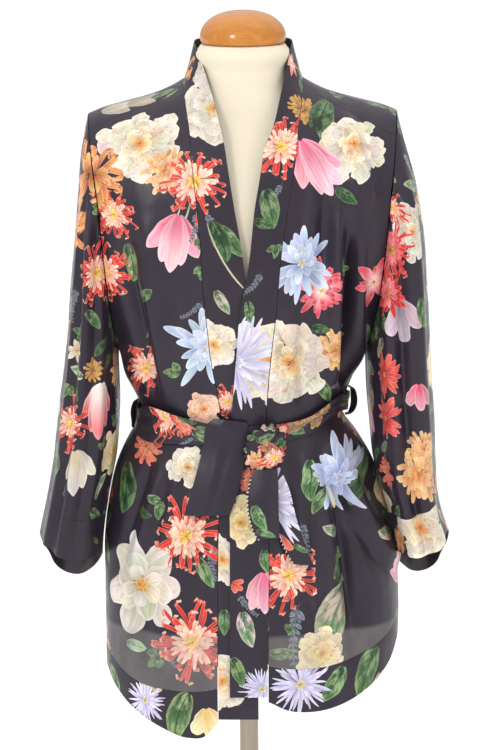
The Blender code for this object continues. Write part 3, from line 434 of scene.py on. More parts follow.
# Strips of the belt: node, table, lines across, the point that their outer side faces away from, and their ripples:
# place across, drift along the strip, height, half-width as a share
STRIPS = (
    ("belt_tail_plain", PLAIN_TAIL, 22, (0.0, 0.0), ((0.30, 0.12, 0.0010, 0.10), (0.62, -0.15, -0.0010, 0.09))),
    ("belt_tail_printed", PRINTED_TAIL, 16, (0.0, 0.0), ((0.45, 0.10, 0.0009, 0.12),)),
    ("belt_loop", LOOP, 16, (0.022, -0.1375), ()),
)

# Serged left edges: the shares of a piece's length between which the thread shows
SERGED = {"belt_loop": (0.06, 0.60), "belt_tail_printed": (0.12, 0.98)}

# Pleats of the belt: turn where it starts and ends, its share of the width there, height, half-width as a share
BELT_PLEATS = (
    (-88, -14, 0.22, 0.40, -0.0020, 0.07),
    (-80, -6, 0.55, 0.52, 0.0018, 0.09),
    (-70, -8, 0.82, 0.68, -0.0018, 0.06),
    (18, 88, 0.35, 0.45, -0.0018, 0.08),
    (24, 84, 0.78, 0.62, -0.0016, 0.07),
    (20, 70, 0.15, 0.30, 0.0014, 0.07),
    (96, 176, 0.30, 0.42, -0.0018, 0.07),
    (104, 170, 0.72, 0.60, -0.0016, 0.06),
    (-176, -98, 0.62, 0.36, -0.0018, 0.07),
    (-168, -110, 0.30, 0.70, 0.0014, 0.07),
)

# Counts and steps of the dense surfaces, in metres
ARM_STEPS = 14
SHOULDER_RUN = 0.212  # length of a quarter turn over the shoulder
GRID_STEP = 0.003
FRONT_LINES = 90
BACK_LINES = 170
SLEEVE_LINES = 190
BAND_LINES = 19
OUTLINE_STEP = 0.003
PRINT_STEP = 0.0045
LINING_STEP = 0.0045
PETAL_STEP = 0.0028
BACK_STEP = 0.0065
BELT_STEP = 0.004
STRIP_STEP = 0.0025
KNOT_STEP = 0.002

NO_GAPS = ((0, 0),) * 4  # how far each side of an outline is moved in
SLEEVE_HEAD_GAP = 0.0002
BAND_GAP = 0.0006
BELT_WALL = 0.0018
CARRIER_WALL = 0.0014

# Rows of the form: from which height to which, and the step
FORM_ROWS = ((FORM_BOTTOM, 1.36, 0.008), (1.36, 1.46, 0.003), (1.46, NECK_TOP - 0.004, 0.004))

# Camera: tilt, roll and half the view, in degrees
CAMERA_TILT, CAMERA_ROLL, CAMERA_HALF_VIEW = 10.6, 0.5, 6.5

# Colours, as linear values
GROUND = (0.0235, 0.0150, 0.0275)
CREAM = (0.83, 0.74, 0.585)
WOOD = (0.60, 0.215, 0.012)
# the chrome's colour is darkened and warmed by a painted reflection of brown surroundings
CHROME_WITH_PAINTED_REFLECTION = (0.36, 0.31, 0.235)
PALE_THREAD = (0.80, 0.76, 0.72)
DARK_THREAD = (0.012, 0.010, 0.014)

# Outlines of petals: where along its length a petal is widest, as two powers
STRAP = (0.55, 0.22)
SPOON = (0.75, 0.30)
ROUND = (0.50, 0.32)
EGG = (0.62, 0.45)
LANCE = (0.72, 0.58)
BLADE = (0.62, 0.80)
LEAF = (0.75, 0.85)
BELL = (0.66, 0.66)

# Rings of petals, the lowest first: count, distance of their roots from the flower's middle, length and half-width as
# shares of its radius, outline, part of the palette, spread of their headings, bend, unevenness, ruffle, and the length
# and half-width of the curls at their tips
OUTER, INNER, HEART = 0, 1, 2
RINGS = {
    "spider": (
        (17, 0.24, 0.66, 0.042, STRAP, OUTER, 0.18, 0.9, 0.16, 0, 0.24, 0.036),
        (16, 0.20, 0.50, 0.048, STRAP, OUTER, 0.18, 0.9, 0.16, 0, 0.20, 0.036),
        (18, 0.10, 0.42, 0.060, SPOON, OUTER, 0.14, 0.9, 0.16, 0),
        (24, 0.16, 0.36, 0.042, SPOON, INNER, 0.12, 1.44, 0.16, 0),
        (24, 0.11, 0.30, 0.042, SPOON, INNER, 0.12, 1.44, 0.16, 0),
        (20, 0.06, 0.25, 0.042, SPOON, INNER, 0.12, 1.44, 0.16, 0),
        (18, 0.01, 0.17, 0.026, SPOON, HEART, 0.20, 0.9, 0.20, 0),
    ),
    "pompon": (
        (17, 0.34, 0.62, 0.105, SPOON, OUTER, 0.10, 1.1, 0.12, 0),
        (15, 0.26, 0.52, 0.105, SPOON, OUTER, 0.10, 1.1, 0.12, 0),
        (13, 0.17, 0.44, 0.100, SPOON, INNER, 0.10, 1.1, 0.12, 0),
        (11, 0.09, 0.36, 0.090, SPOON, INNER, 0.12, 1.1, 0.12, 0),
        (8, 0.00, 0.22, 0.055, SPOON, HEART, 0.15, 1.1, 0.12, 0),
    ),
    "peony": (
        (11, 0.42, 0.58, 0.25, ROUND, OUTER, 0.22, 1.0, 0.16, 0.16),
        (10, 0.32, 0.54, 0.26, ROUND, OUTER, 0.22, 1.0, 0.16, 0.16),
        (9, 0.22, 0.46, 0.22, ROUND, OUTER, 0.22, 1.0, 0.16, 0.18),
        (8, 0.14, 0.38, 0.17, ROUND, INNER, 0.22, 1.0, 0.16, 0.20),
        (7, 0.07, 0.30, 0.12, ROUND, INNER, 0.22, 1.0, 0.16, 0.22),
        (5, 0.01, 0.20, 0.07, ROUND, HEART, 0.22, 1.0, 0.16, 0.20),
    ),
    "magnolia": (
        (7, 0.10, 0.96, 0.31, EGG, OUTER, 0.12, 0.3, 0.10, 0.06),
        (6, 0.06, 0.74, 0.27, EGG, INNER, 0.14, 0.3, 0.10, 0.06),
        (5, 0.03, 0.48, 0.17, EGG, INNER, 0.20, 0.3, 0.10, 0.06),
    ),
    "lotus": (
        (13, 0.10, 0.90, 0.115, LANCE, OUTER, 0.16, 0.3, 0.16, 0),
        (12, 0.08, 0.72, 0.115, LANCE, OUTER, 0.16, 0.3, 0.16, 0),
        (9, 0.04, 0.50, 0.105, LANCE, INNER, 0.18, 0.3, 0.14, 0),
    ),
    "curly": (
        (11, 0.12, 0.72, 0.085, STRAP, OUTER, 0.20, 1.6, 0.16, 0, 0.34, 0.075),
        (10, 0.08, 0.50, 0.080, STRAP, INNER, 0.20, 1.8, 0.16, 0, 0.24, 0.065),
        (9, 0.02, 0.34, 0.060, SPOON, HEART, 0.20, 2.2, 0.16, 0),
    ),
    "lily": (
        (6, 0.03, 0.97, 0.21, LEAF, OUTER, 0.10, 0.5, 0.08, 0.05),
        (5, 0.02, 0.62, 0.13, LEAF, INNER, 0.15, 0.5, 0.10, 0),
        (7, 0.02, 0.20, 0.020, STRAP, HEART, 0.10, 0, 0.12, 0),
    ),
    "aster": (
        (34, 0.16, 0.84, 0.042, LANCE, OUTER, 0.07, 0.4, 0.10, 0),
        (30, 0.12, 0.66, 0.042, LANCE, INNER, 0.07, 0.4, 0.10, 0),
        (20, 0.08, 0.42, 0.036, LANCE, INNER, 0.08, 0.4, 0.10, 0),
        (14, 0.02, 0.18, 0.035, ROUND, HEART, 0.10, 0, 0.12, 0),
    ),
}
# Kinds of printed shape, as the material reads them
PETAL, LEAF_BLADE, MOTTLED, HAIRLINE = 1, 2, 3, 0.9

SLOTS = {
    "form_torso": "linen_cover",
    "form_neck_cap": "turned_wood",
    "form_pole": "chrome_pole",
    "form_base": "chrome_base",
}

# Lights: name, place, target, width and height, power
LIGHTS = (
    ("key", (-1.9, -3.4, 2.9), (0.0, 0.0, 1.05), (0.8, 1.0), 48),
    ("fill", (2.4, -2.8, 1.9), (0.0, 0.0, 1.05), (1.4, 2.2), 12),
)
SKY_LOW, SKY_RISE = 0.45, 1.15  # the sky's strength at the horizon, and how much brighter it is overhead
FLOOR_REACH = 60.0

# Palettes as screen colours: base, tip and edge of the outer petals, of the inner petals and of the heart
PALETTES = {
    "red": (0xC81816, 0xE23428, 0xFCCEB4, 0xE45A42, 0xFDDEC4, 0xFFEEDC, 0xE8B03C, 0xF6E474, 0xFEF0AA),
    "coral": (0xC43C30, 0xEE7A62, 0xFCCAB2, 0xD4543E, 0xF6A080, 0xFEDAC4, 0xB43C28, 0xF4B46E, 0xFCE0AA),
    "orange": (0xBC542C, 0xEEA45C, 0xFCD8AC, 0xCE6836, 0xF8C486, 0xFFE6C4, 0xA85424, 0xECAA5C, 0xFADCA0),
    "brown": (0x965C28, 0xD6A054, 0xF0CE8C, 0x8C5024, 0xE2B060, 0xF6DAA0, 0x6E3C1E, 0xD29646, 0xF0C878),
    "ivory": (0xCEBCA0, 0xECE3D4, 0xF6F1E7, 0xD4B284, 0xEEDEC2, 0xF7EFDF, 0xD48440, 0xF0BE78, 0xFADEAA),
    "cream": (0xD6B478, 0xF4E6BE, 0xFCF6E0, 0xDEB468, 0xF8E4B0, 0xFDF4D6, 0xCE8C3C, 0xF6CE6E, 0xFCE8A0),
    "peach": (0xDE8260, 0xF8CEB2, 0xFEEAD8, 0xE48C60, 0xFAD4B2, 0xFEECD6, 0xD66E3C, 0xF6BE78, 0xFCE0AA),
    "white": (0xBEB4A4, 0xE0D8CC, 0xF2EEE6, 0xCEBEA6, 0xE8E0D2, 0xF4F0E8, 0xD09654, 0xECCC8C, 0xF6E4BC),
    "magnolia": (0xA89E8E, 0xDED7CC, 0xF2EFE8, 0xC4B49A, 0xE6DED0, 0xF5F2EC, 0xCE7814, 0xF4B428, 0xFEDC64),
    "pink": (0xDE5478, 0xF4B2C2, 0xFCE8EA, 0xE26E8C, 0xF6C8D0, 0xFDEEEE, 0xBE3C5A, 0xEC8CA0, 0xFAD2D6),
    "rose": (0xF6BEBE, 0xDE3E54, 0xFAC4C8, 0xFADCD6, 0xD6324A, 0xFAC8CC, 0xE2963C, 0xFADC78, 0xFCECAA),
    "blush": (0xFAF0EC, 0xE25260, 0xFAD2CE, 0xFCF4F0, 0xEC7882, 0xFCE0DC, 0xE8A05A, 0xF8D282, 0xFCE6B4),
    "salmon": (0xFCDECE, 0xEA7470, 0xFCC4B8, 0xFDE8D6, 0xF08C7E, 0xFDD2C4, 0xE8963C, 0xFAD878, 0xFDECAA),
    "tulip red": (0xCE2830, 0xEC6054, 0xFAC8B4, 0xBE1E2C, 0xE44646, 0xF8B4A4, 0xE2963C, 0xFADC78, 0xFCECAA),
    "blue": (0x7E94C6, 0xD2DCEE, 0xF6F8FC, 0x96AAD2, 0xDEE5F2, 0xF9FAFD, 0xCEBA96, 0xECDEC4, 0xFCF6E8),
    "lilac": (0xA092D0, 0xE2DCF1, 0xF9F7FC, 0xB4A8D8, 0xEAE5F4, 0xFAF9FD, 0xBEB078, 0xDED4AA, 0xF6F0DC),
    "grey pink": (0xAA96A0, 0xD6BEC8, 0xECDEE4, 0xB4A0A8, 0xDCC8CE, 0xEEE2E6, 0xBE9678, 0xE6C8A0, 0xF2E0C4),
    "beige": (0xB69470, 0xDEC8AC, 0xF2E6D4, 0xBE9C76, 0xE2CEB4, 0xF2E8D8, 0xB0783C, 0xE2B46E, 0xF2D6A0),
    "white lilac": (0xA498D0, 0xE8E3F3, 0xFAF9FD, 0xC0B6DC, 0xEEEAF6, 0xFBFAFD, 0xBCB2D6, 0xE6E2F0, 0xFAFAFC),
    "pale blue": (0x7C8EC4, 0xCED6EA, 0xF4F6FC, 0x96A4D0, 0xDCE2F0, 0xF8F9FD, 0xCEC4D2, 0xE8E4EC, 0xFAF9FB),
    "orange pale": (0xCE742E, 0xEEBC82, 0xFAE8CA, 0xD6843A, 0xF2CA92, 0xFCEED4, 0xC46822, 0xEAB06A, 0xF8DEB4),
    "rose red": (0xB0121A, 0xE23E3A, 0xFAB0A8, 0xCE3C4E, 0xEE8488, 0xFCDAD6, 0x96681E, 0xCEA04C, 0xECD08C),
    "beige pale": (0x968A7A, 0xBCB0A0, 0xDCD2C4, 0xA49886, 0xC4B8A8, 0xE2D8CA, 0x8C7860, 0xB4A088, 0xD6C8B6),
    "tan": (0x704A2C, 0xB28A62, 0xD6B690, 0x96643A, 0xC49E74, 0xE0C4A0, 0x603C22, 0xA07042, 0xCEAA80),
    "green": (0x203E22, 0x567E48, 0xA2BE88),
    "deep": (0x142A1A, 0x345A32, 0x749662),
    "pale leaf": (0x688E60, 0xB0CA9E, 0xDCE8CC),
    "blush leaf": (0x3A6C3E, 0x74A468, 0xF6CCCC),
    "brown leaf": (0x4E462C, 0x807C4C, 0xBAB482),
    "grey": (0x464C5A, 0x747A88, 0xA0A6B0, 0x464C5A, 0x747A88, 0xA0A6B0, 0x78767C, 0x8C8A8E, 0xA09EA0),
    "lilac grey": (0x78708C, 0xA69EB8, 0xCEC8DA, 0x78708C, 0xA69EB8, 0xCEC8DA, 0x827C92, 0x9690A4, 0xAAA6B4),
    "stem": (0xC4B49E, 0xD6C8B2, 0xE8DECE),
}

# Motifs that fill the cloth between those in the tables: kind, radius, palette
LARGE_MOTIFS = (
    ("spider", 46, "red"),
    ("peony", 48, "ivory"),
    ("magnolia", 48, "magnolia"),
    ("pompon", 28, "coral"),
    ("lotus", 38, "blue"),
    ("peony", 38, "cream"),
    ("aster", 38, "lilac"),
    ("pompon", 28, "orange pale"),
    ("lily", 32, "salmon"),
    ("tulip", 36, "pink"),
    ("curly", 32, "orange"),
)
SMALL_MOTIFS = (
    ("leaf", 16, "green"),
    ("leaves", 11, "green"),
    ("spray", 16, "grey"),
    ("leaf", 14, "deep"),
    ("leaf", 16, "blush leaf"),
)

TRIES_PER_AREA = 9000  # places tried for them on a square metre

# Pieces without any flowers but those in the table
PLAIN = ("cuff_right", "belt_tail_plain")

# Printed flowers of each piece: kind, x and z in millimetres, radius, turn, palette. A later one lies on the others.
FLOWERS = {
    "back": """
        tulip -158 1416 30 15 beige pale
        tulip -128 1424 26 20 beige pale
        leaf -104 1431 15 10 green
        spray 128 1428 16 -20 lilac grey
        spray 158 1420 16 -30 lilac grey
    """,
    "front_right": """
        stem -66 1318 18 100 pale leaf
        stem -73 1405 15.1 -10 stem
        leaf -95 1431 11.4 -10 green
        peony -131 1374 53 0 ivory
        leaf -140 1230 23 75 green
        stem -80 1303 11.3 95 stem
        tulip -88 1258 40 100 pink
        pompon -99 1343 31 0 orange pale
        spray -62 1296 22 75 grey
        spider -60 1331 45 0 red
        leaves -57 1260 8.8 90 green
        leaves -55 1224 10 100 green
        spray -52 1182 20.1 120 grey
        lotus -44 1122 50 180 blue
        leaves -84 1086 12.7 200 green
        spider -128 1085 40 0 red
        peony -53 1038 24.1 0 peach
        pompon -128 984 25.7 0 coral
        leaf -153 933 30.9 95 deep
        peony -76 963 26.8 0 ivory
        leaves -111 918 15.4 140 green
        leaf -56 831 19.2 70 green
        spray -44 867 25.5 100 grey
        leaf -146 726 15.5 10 pale leaf
        leaves -113 720 15.4 150 green
        spray -126 738 25.7 20 grey
        magnolia -137 806 60 20 magnolia
        spider -70 737 56 0 red
        spider -79 878 54 0 red
        leaf -183 846 18.2 80 green
        loose -186 741 23.6 60 peach
        spider -164 1288 36 0 red
        leaves -128 1180 17 250 green
        spider -188 1212 44 0 red
        curly -196 1335 54 0 orange
    """,
    "sleeve_right": """
        curly -196 1335 54 0 orange
        curly -212 1262 42 0 orange
        leaves -176 1305 11.6 60 green
        spider -172 1257 25.8 0 red
        spider -188 1212 44 0 red
        leaf -193 1158 15.2 30 green
        leaf -181 1122 14 160 deep
        spray -214 1197 25.4 100 grey
        pompon -195 1089 16.5 0 brown
        lily -213 1113 17.8 0 ivory
        leaves -223 1068 11.5 120 green
        tulip -184 1040 38 85 blush
        spider -222 1020 39.5 0 red
        tulip -218 960 34 80 white
        spray -254 924 25.9 20 grey
    """,
    "cuff_right": """
        leaf -196 860 8 20 brown leaf
    """,
    "neckband_right": """
        peony -47 1462 20 90 white
        peony -38 1420 48 0 white
        leaf -20 1259 21.3 60 green
        spray -52 1296 22 60 grey
        leaf -30 1181 15.1 70 blush leaf
        peony -40 1125 32.8 0 ivory
        spider -23 1049 25.4 0 red
        leaf -29 960 17.8 80 green
        peony -32 847 30.6 0 ivory
        leaf -30 769 15.3 90 green
        peony -34 691 41 0 ivory
        spider -60 1331 45 0 red
        leaf -28 1262 24 60 deep
        stem -48 1284 48 84 stem
    """,
    "neckband_left": """
        leaves 39 1251 10 90 green
        spray 49 1331 18.8 110 grey
        leaf 32 1301 23.8 65 green
        leaf 22 1278 12.5 30 deep
        pompon 73 1416 21.4 0 brown
        spider 47 1372 46 0 red
        lily 62 1470 16.5 0 salmon
        leaf 72 1444 11.4 90 green
        spray 22 1221 22.5 100 grey
        peony 56 1100 57 0 ivory
        aster -15 1104 62 0 white lilac
        leaf 7 1171 12.6 60 green
        peony -8 896 30.5 0 cream
        loose -20 818 10.2 30 coral
        spray -12 806 20.4 70 grey
        leaf -4 761 21.7 80 blush leaf
        tulip 22 806 30.6 88 pink
        leaf 19 848 14 100 green
        aster 17 680 28.1 0 lilac
        leaf -13 707 17.9 60 green
        pompon 5 949 17.8 0 coral
    """,
    "front_left": """
        leaf 103 1404 26.5 92 green
        pompon 78 1414 22.7 0 brown
        peony 138 1374 48 0 ivory
        tulip 92 1346 42 52 pink
        leaf 126 1311 15.1 40 deep
        lotus 97 1190 38 -40 rose
        lotus 72 1226 48 -60 blue
        lily 163 1197 35.5 0 rose
        pompon 114 1113 30 0 orange pale
        leaf 99 1059 17.8 60 green
        leaf 92 1140 12.6 20 deep
        peony 56 1100 57 0 ivory
        leaves 133 1056 12.9 120 green
        pompon 139 993 13 0 coral
        leaf 150 951 38.7 92 deep
        leaf 80 948 25.5 100 green
        leaf 94 924 17.9 150 green
        lotus 115 948 52 60 pale blue
        spray 68 897 28 70 grey
        spray 68 792 43.5 110 grey
        leaf 52 756 8.9 60 green
        leaf 41 723 15.3 20 green
        leaf 104 771 48.6 127 blush leaf
        peony 95 723 34.6 0 cream
        spider 52 826 48 0 red
        leaf 194 744 15.7 90 green
        loose 167 714 23.3 60 beige
        leaf 100 1405 30 -60 deep
    """,
    "hem_right": """
        leaf -127 675 18 0 brown leaf
        leaf -93 648 32.1 125 green
        loose -55 654 28.2 80 cream
        aster -133 657 28.4 0 lilac
        leaf -174 678 20.8 30 green
        pompon -186 687 18.4 0 coral
    """,
    "hem_left": """
        loose 171 684 31.1 80 beige
        leaf 115 681 24.4 110 green
        leaf 151 696 33.6 130 green
        aster 67 684 38.4 0 lilac
        leaf 195 711 21 100 green
    """,
    "sleeve_left": """
        spray 184 1404 28.3 30 lilac grey
        spray 198 1362 27.9 60 lilac grey
        peony 212 1262 34 0 white
        spider 186 1293 27.8 0 red
        loose 194 1176 32.9 80 grey pink
        leaf 222 1161 17.7 100 green
        lotus 176 1080 30 30 tulip red
        lotus 178 1022 30 -60 tulip red
        loose 219 1068 22.9 90 pink
        pompon 226 985 26 0 orange pale
        pompon 220 950 40 0 orange pale
        spray 235 1017 28.1 70 grey
        spider 184 1240 42 0 rose red
        lotus 180 1185 34 -80 rose red
    """,
    "cuff_left": """
        peony 222 880 48 0 ivory
        pompon 198 858 20.7 0 orange
    """,
    "belt_wrap": """
        leaf -52 1006 19 10 green
        spray -62 1002 14 160 grey
        spider -104 1027 24 0 red
        pompon -82 1022 16 0 coral
        leaf -72 1036 14 170 deep
        loose -14 1016 10 150 white
        leaf 60 1012 14 30 green
        spider 44 1012 15 0 red
        peony 88 1036 22 0 tan
        peony 66 1026 15 0 tan
        leaf 126 1036 17.9 20 deep
        leaf -144 1002 15.5 0 green
    """,
    "belt_knot": """
        pompon 14 974 20 0 orange pale
        spider 36 982 28 0 red
        leaf 22 1006 12 30 green
        leaf 44 1002 12 120 deep
        loose 9 970 13 200 peach
        curly 26 996 12 60 tan
    """,
    "belt_loop": """
        leaf 12 908 16 78 green
        leaf 22 888 11 20 green
    """,
    "belt_tail_printed": """
        loose 38 880 18 100 coral
        aster 28 924 60 0 white lilac
        leaf 66 862 9 60 green
    """,
}


# ---- curves and tables


def smooth(value, xs, ys):
    """A smooth curve through a table's points, held at its ends."""
    value = np.clip(np.asarray(value, float), xs[0], xs[-1])
    xs = np.asarray(xs, float)
    ys = np.asarray(ys, float)
    slopes = np.gradient(ys, xs, axis=0)
    i = np.clip(np.searchsorted(xs, value, side="right") - 1, 0, len(xs) - 2)
    step = xs[i + 1] - xs[i]
    t = (value - xs[i]) / step
    if ys.ndim > 1:
        shape = np.shape(value) + (1,) * (ys.ndim - 1)
        step, t = step.reshape(shape), t.reshape(shape)
    rise = 3 * t**2 - 2 * t**3
    return (
        ys[i] * (1 - rise)
        + ys[i + 1] * rise
        + slopes[i] * step * (t**3 - 2 * t**2 + t)
        + slopes[i + 1] * step * (t**3 - t**2)
    )


def column(table, x, index, key=0):
    """A table's column, read smoothly at x of its key column."""
    return smooth(x, [row[key] for row in table], [row[index] for row in table])


def ease(value, low, high):
    t = np.clip((np.asarray(value, float) - low) / (high - low), 0, 1)
    return t * t * (3 - 2 * t)


def sign_of(wearer):
    return -1.0 if wearer == "right" else 1.0


def half_width(x, level):
    right = column(CLOTH_SECTIONS, level, 1)
    left = column(CLOTH_SECTIONS, level, 2)
    return np.where(np.asarray(x) < 0, right, left)


# ---- the jacket's own form


def fold_height(side, x, z):
    """How far the folds of one side lift the cloth at x, z."""
    total = np.zeros(np.broadcast(x, z).shape)
    for where, x0, z0, x1, z1, height, wide0, wide1 in BODY_FOLDS + BODY_CREASES:
        if where != side:
            continue
        along = (z0 - z) / (z0 - z1)
        inside = ease(along, 0, 0.30) * (1 - ease(along, 0.78, 1.02))
        t = np.clip(along, 0, 1.05)
        middle = x0 + (x1 - x0) * t
        wide = wide0 + (wide1 - wide0) * t
        total = total + height * inside * np.exp(-(((x - middle) / wide) ** 2))
    return total


def overlap_lift(x, z):
    """The upper front rises a little where it lies on the lower one."""
    low = 1 - ease(z, 1.195, 1.260)
    return OVERLAP_LIFT * low * (1 - ease(x, 0.032, 0.085))


def cloth_point(side, x, level, off=0.0, upper=False):
    """A point of the cloth: side is front or back, level is its height up to the chest and runs on up the shoulder."""
    x, level = np.broadcast_arrays(np.asarray(x, float), np.asarray(level, float))
    share = np.clip((level - CHEST) / (CREST - CHEST), 0, 1)
    z = np.where(level > CHEST, CHEST + (column(CREST_LINE, np.abs(x), 1) - CHEST) * share, level)
    front = side == "front"
    depth = column(CLOTH_SECTIONS, level, 3 if front else 4)
    width = half_width(x, level)
    reach = np.clip(np.abs(x) / width, 0, 1)
    plan = (1 - reach**PLAN_POWER) ** (1 / PLAN_POWER)
    power = SHOULDER_POWER_FRONT if front else SHOULDER_POWER_BACK
    rounding = (1 - share**power) ** (1 / power)
    sign = -1.0 if front else 1.0
    y = sign * depth * plan * rounding + CREST_Y * ease(share, 0, 1)
    lift = off + fold_height(side, x, z) * (1 - ease(share, 0.75, 1.0))
    if upper:
        lift = lift + overlap_lift(x, z)
    out_x = np.sign(x) * reach ** (PLAN_POWER - 1) / width
    out_y = sign * np.maximum(plan, 1e-6) ** (PLAN_POWER - 1) / depth
    size = np.hypot(out_x, out_y)
    level_part = np.sqrt(np.clip(1 - share**2, 0, 1))
    return np.stack(
        [x + lift * out_x / size * level_part, y + lift * out_y / size * level_part, z + lift * share],
        axis=-1,
    )


def band_table(wearer):
    return NECKBAND_RIGHT if wearer == "right" else NECKBAND_LEFT


def armhole_x(wearer, level):
    return sign_of(wearer) * column(ARMHOLE, level, 1 if wearer == "right" else 2)


def side_x(wearer, level):
    """Where a front or back ends at its side: at the side seam below the underarm, at the armhole above it."""
    seam = sign_of(wearer) * half_width(sign_of(wearer), level)
    return np.where(level > UNDERARM, armhole_x(wearer, level), seam)


def inner_x(wearer, level):
    """The front's seam with its neckband, at every level up to the shoulder."""
    table = band_table(wearer)
    low = column(table, level, 1)
    t = ease(level, table[-1][0], CREST)
    return low * (1 - t) + sign_of(wearer) * SEAM_NECK_X * t


def shoulder_turn(level):
    """A level above the chest as a turn in degrees: 0 at the chest, 90 on the crest."""
    return np.degrees(np.arcsin(np.clip((level - CHEST) / (CREST - CHEST), 0, 1)))


def level_at(turn):
    """The level at a turn over the shoulder, the same before and behind the crest."""
    turn = np.clip(turn, 0, 180)
    return CHEST + (CREST - CHEST) * np.sin(np.radians(np.minimum(turn, 180 - turn)))


def run_of(level=None, turn=None):
    """The running height of a level below the chest, or of a turn over the shoulder."""
    return level if turn is None else CHEST + SHOULDER_RUN * turn / 90


def level_of_run(run):
    turn = (run - CHEST) / SHOULDER_RUN * 90
    return np.where(run > CHEST, level_at(turn), run), turn


def armhole_level(step):
    return UNDERARM + (CREST - UNDERARM) * np.sin(step / ARM_STEPS * math.pi / 2) ** 1.25


def armhole_point(wearer, step):
    """Points of the armhole's seam: steps run from the underarm over the front to the tip and down the back."""
    step = np.asarray(step, float)
    level = armhole_level(np.clip(np.where(step <= ARM_STEPS, step, 2 * ARM_STEPS - step), 0, ARM_STEPS))
    x = armhole_x(wearer, level)
    before = cloth_point("front", x, level)
    behind = cloth_point("back", x, level)
    return np.where((step <= ARM_STEPS)[..., None], before, behind)


# ---- surfaces with flat coordinates


class Surface:
    """A dense grid of points, with distances along the cloth as flat coordinates."""

    def __init__(self, points, zero, centre=(0.0, 0.0), main=None):
        self.points = points
        rows = len(points)
        steps = np.linalg.norm(np.diff(points, axis=1), axis=2)
        arc = np.concatenate([np.zeros((rows, 1)), np.cumsum(steps, axis=1)], axis=1)
        zero = np.broadcast_to(np.asarray(zero, float), (rows,))
        numbers = np.arange(rows, dtype=float)
        self.across = arc - self.sample(arc[..., None], numbers, zero)[:, 0][:, None]
        line = self.sample(points, numbers, zero if main is None else np.full(rows, float(main)))
        self.down = np.concatenate([[0], np.cumsum(np.linalg.norm(np.diff(line, axis=0), axis=1))])
        by_row, by_column = np.gradient(points, axis=0), np.gradient(points, axis=1)
        normals = np.cross(by_row, by_column)
        normals /= np.maximum(np.linalg.norm(normals, axis=2, keepdims=True), 1e-12)
        away = points - np.array([centre[0], centre[1], 0])
        away[..., 2] = 0
        self.normals = normals if (normals * away).sum() > 0 else -normals

    @staticmethod
    def sample(grid, row, col):
        """The grid's values at fractional rows and columns."""
        i = np.clip(np.floor(row).astype(int), 0, grid.shape[0] - 2)
        j = np.clip(np.floor(col).astype(int), 0, grid.shape[1] - 2)
        a, b = (row - i)[:, None], (col - j)[:, None]
        top = grid[i, j] * (1 - b) + grid[i, j + 1] * b
        low = grid[i + 1, j] * (1 - b) + grid[i + 1, j + 1] * b
        return top * (1 - a) + low * a

    def flat(self, row, col):
        row, col = np.broadcast_arrays(np.asarray(row, float), np.asarray(col, float))
        across = self.sample(self.across[..., None], row, col)[:, 0]
        return np.stack([across, np.interp(row, np.arange(len(self.down)), self.down)], axis=1)

    def find(self, flat):
        """Fractional row and column of flat coordinates."""
        row = np.interp(flat[:, 1], self.down, np.arange(len(self.down)))
        col = np.empty(len(flat))
        for start in range(0, len(flat), 4000):
            part = slice(start, start + 4000)
            i = np.clip(np.floor(row[part]).astype(int), 0, len(self.down) - 2)
            share = (row[part] - i)[:, None]
            line = self.across[i] * (1 - share) + self.across[i + 1] * share
            x = flat[part, 0]
            j = np.clip((line <= x[:, None]).sum(axis=1) - 1, 0, line.shape[1] - 2)
            pick = np.arange(len(x))
            low, high = line[pick, j], line[pick, j + 1]
            col[part] = j + np.clip((x - low) / np.maximum(high - low, 1e-9), 0, 1)
        return row, col

    def spot(self, x, z):
        """Flat coordinates of the point seen at x, z from the front, and -1 where the cloth runs right to left."""
        gap = (self.points[..., 0] - x) ** 2 + (self.points[..., 2] - z) ** 2
        gap = gap + np.where(self.normals[..., 1] > 0.12, 1.0, 0.0)
        i, j = np.unravel_index(np.argmin(gap), gap.shape)
        k = min(j, self.points.shape[1] - 2)
        mirror = -1 if self.points[i, k + 1, 0] < self.points[i, k, 0] else 1
        return float(self.across[i, j]), float(self.down[i]), mirror


def outline(surface, edges, gaps):
    """The flat outline of a piece: its edges as rows and columns, in order round it, each moved in by its gap."""
    lines = [surface.flat(*edge) for edge in edges]
    points = []
    for k, line in enumerate(lines):
        line = line[:-1] + gaps[k]
        line[0] += gaps[k - 1]
        points.append(line)
    return spaced(np.concatenate(points), OUTLINE_STEP)


def spaced(points, step):
    """The same closed outline with points no further apart than the step, and no three of them in one line."""
    result = []
    for a, b in zip(points, np.roll(points, -1, axis=0)):
        count = max(1, int(math.ceil(np.linalg.norm(b - a) / step)))
        for k in range(count):
            result.append(a + (b - a) * k / count)
    uneven = np.random.default_rng(5).uniform(-1e-5, 1e-5, (len(result), 2))
    return np.array(result) + uneven


def flipped(line):
    return line[0][::-1], line[1][::-1]


def ringed(upper, lower, last, count):
    """The outline between two lines: the upper one, down the last column, the lower one, which runs back, and up."""
    down = (np.linspace(upper[0][-1], lower[0][0], count), np.full(count, last))
    up = (np.linspace(lower[0][-1], upper[0][0], count), np.zeros(count))
    return upper, down, lower, up


def body_columns(wearer, level, inner):
    """Turns round the body from an inner distance to the side, as shares of a quarter turn."""
    power = PLAN_POWER / 2
    width = half_width(sign_of(wearer), level)
    start = np.arcsin(np.clip(np.abs(inner) / width, 0, 1) ** power)
    end = np.arcsin(np.clip(np.abs(side_x(wearer, level)) / width, 0, 1) ** power)
    return start, end


def x_of_turn(turn, level):
    return np.sign(turn) * np.abs(np.sin(turn)) ** (2 / PLAN_POWER) * half_width(turn, level)


def turn_of_x(x, level):
    return np.arcsin(np.clip(np.abs(x) / half_width(x, level), 0, 1) ** (PLAN_POWER / 2))


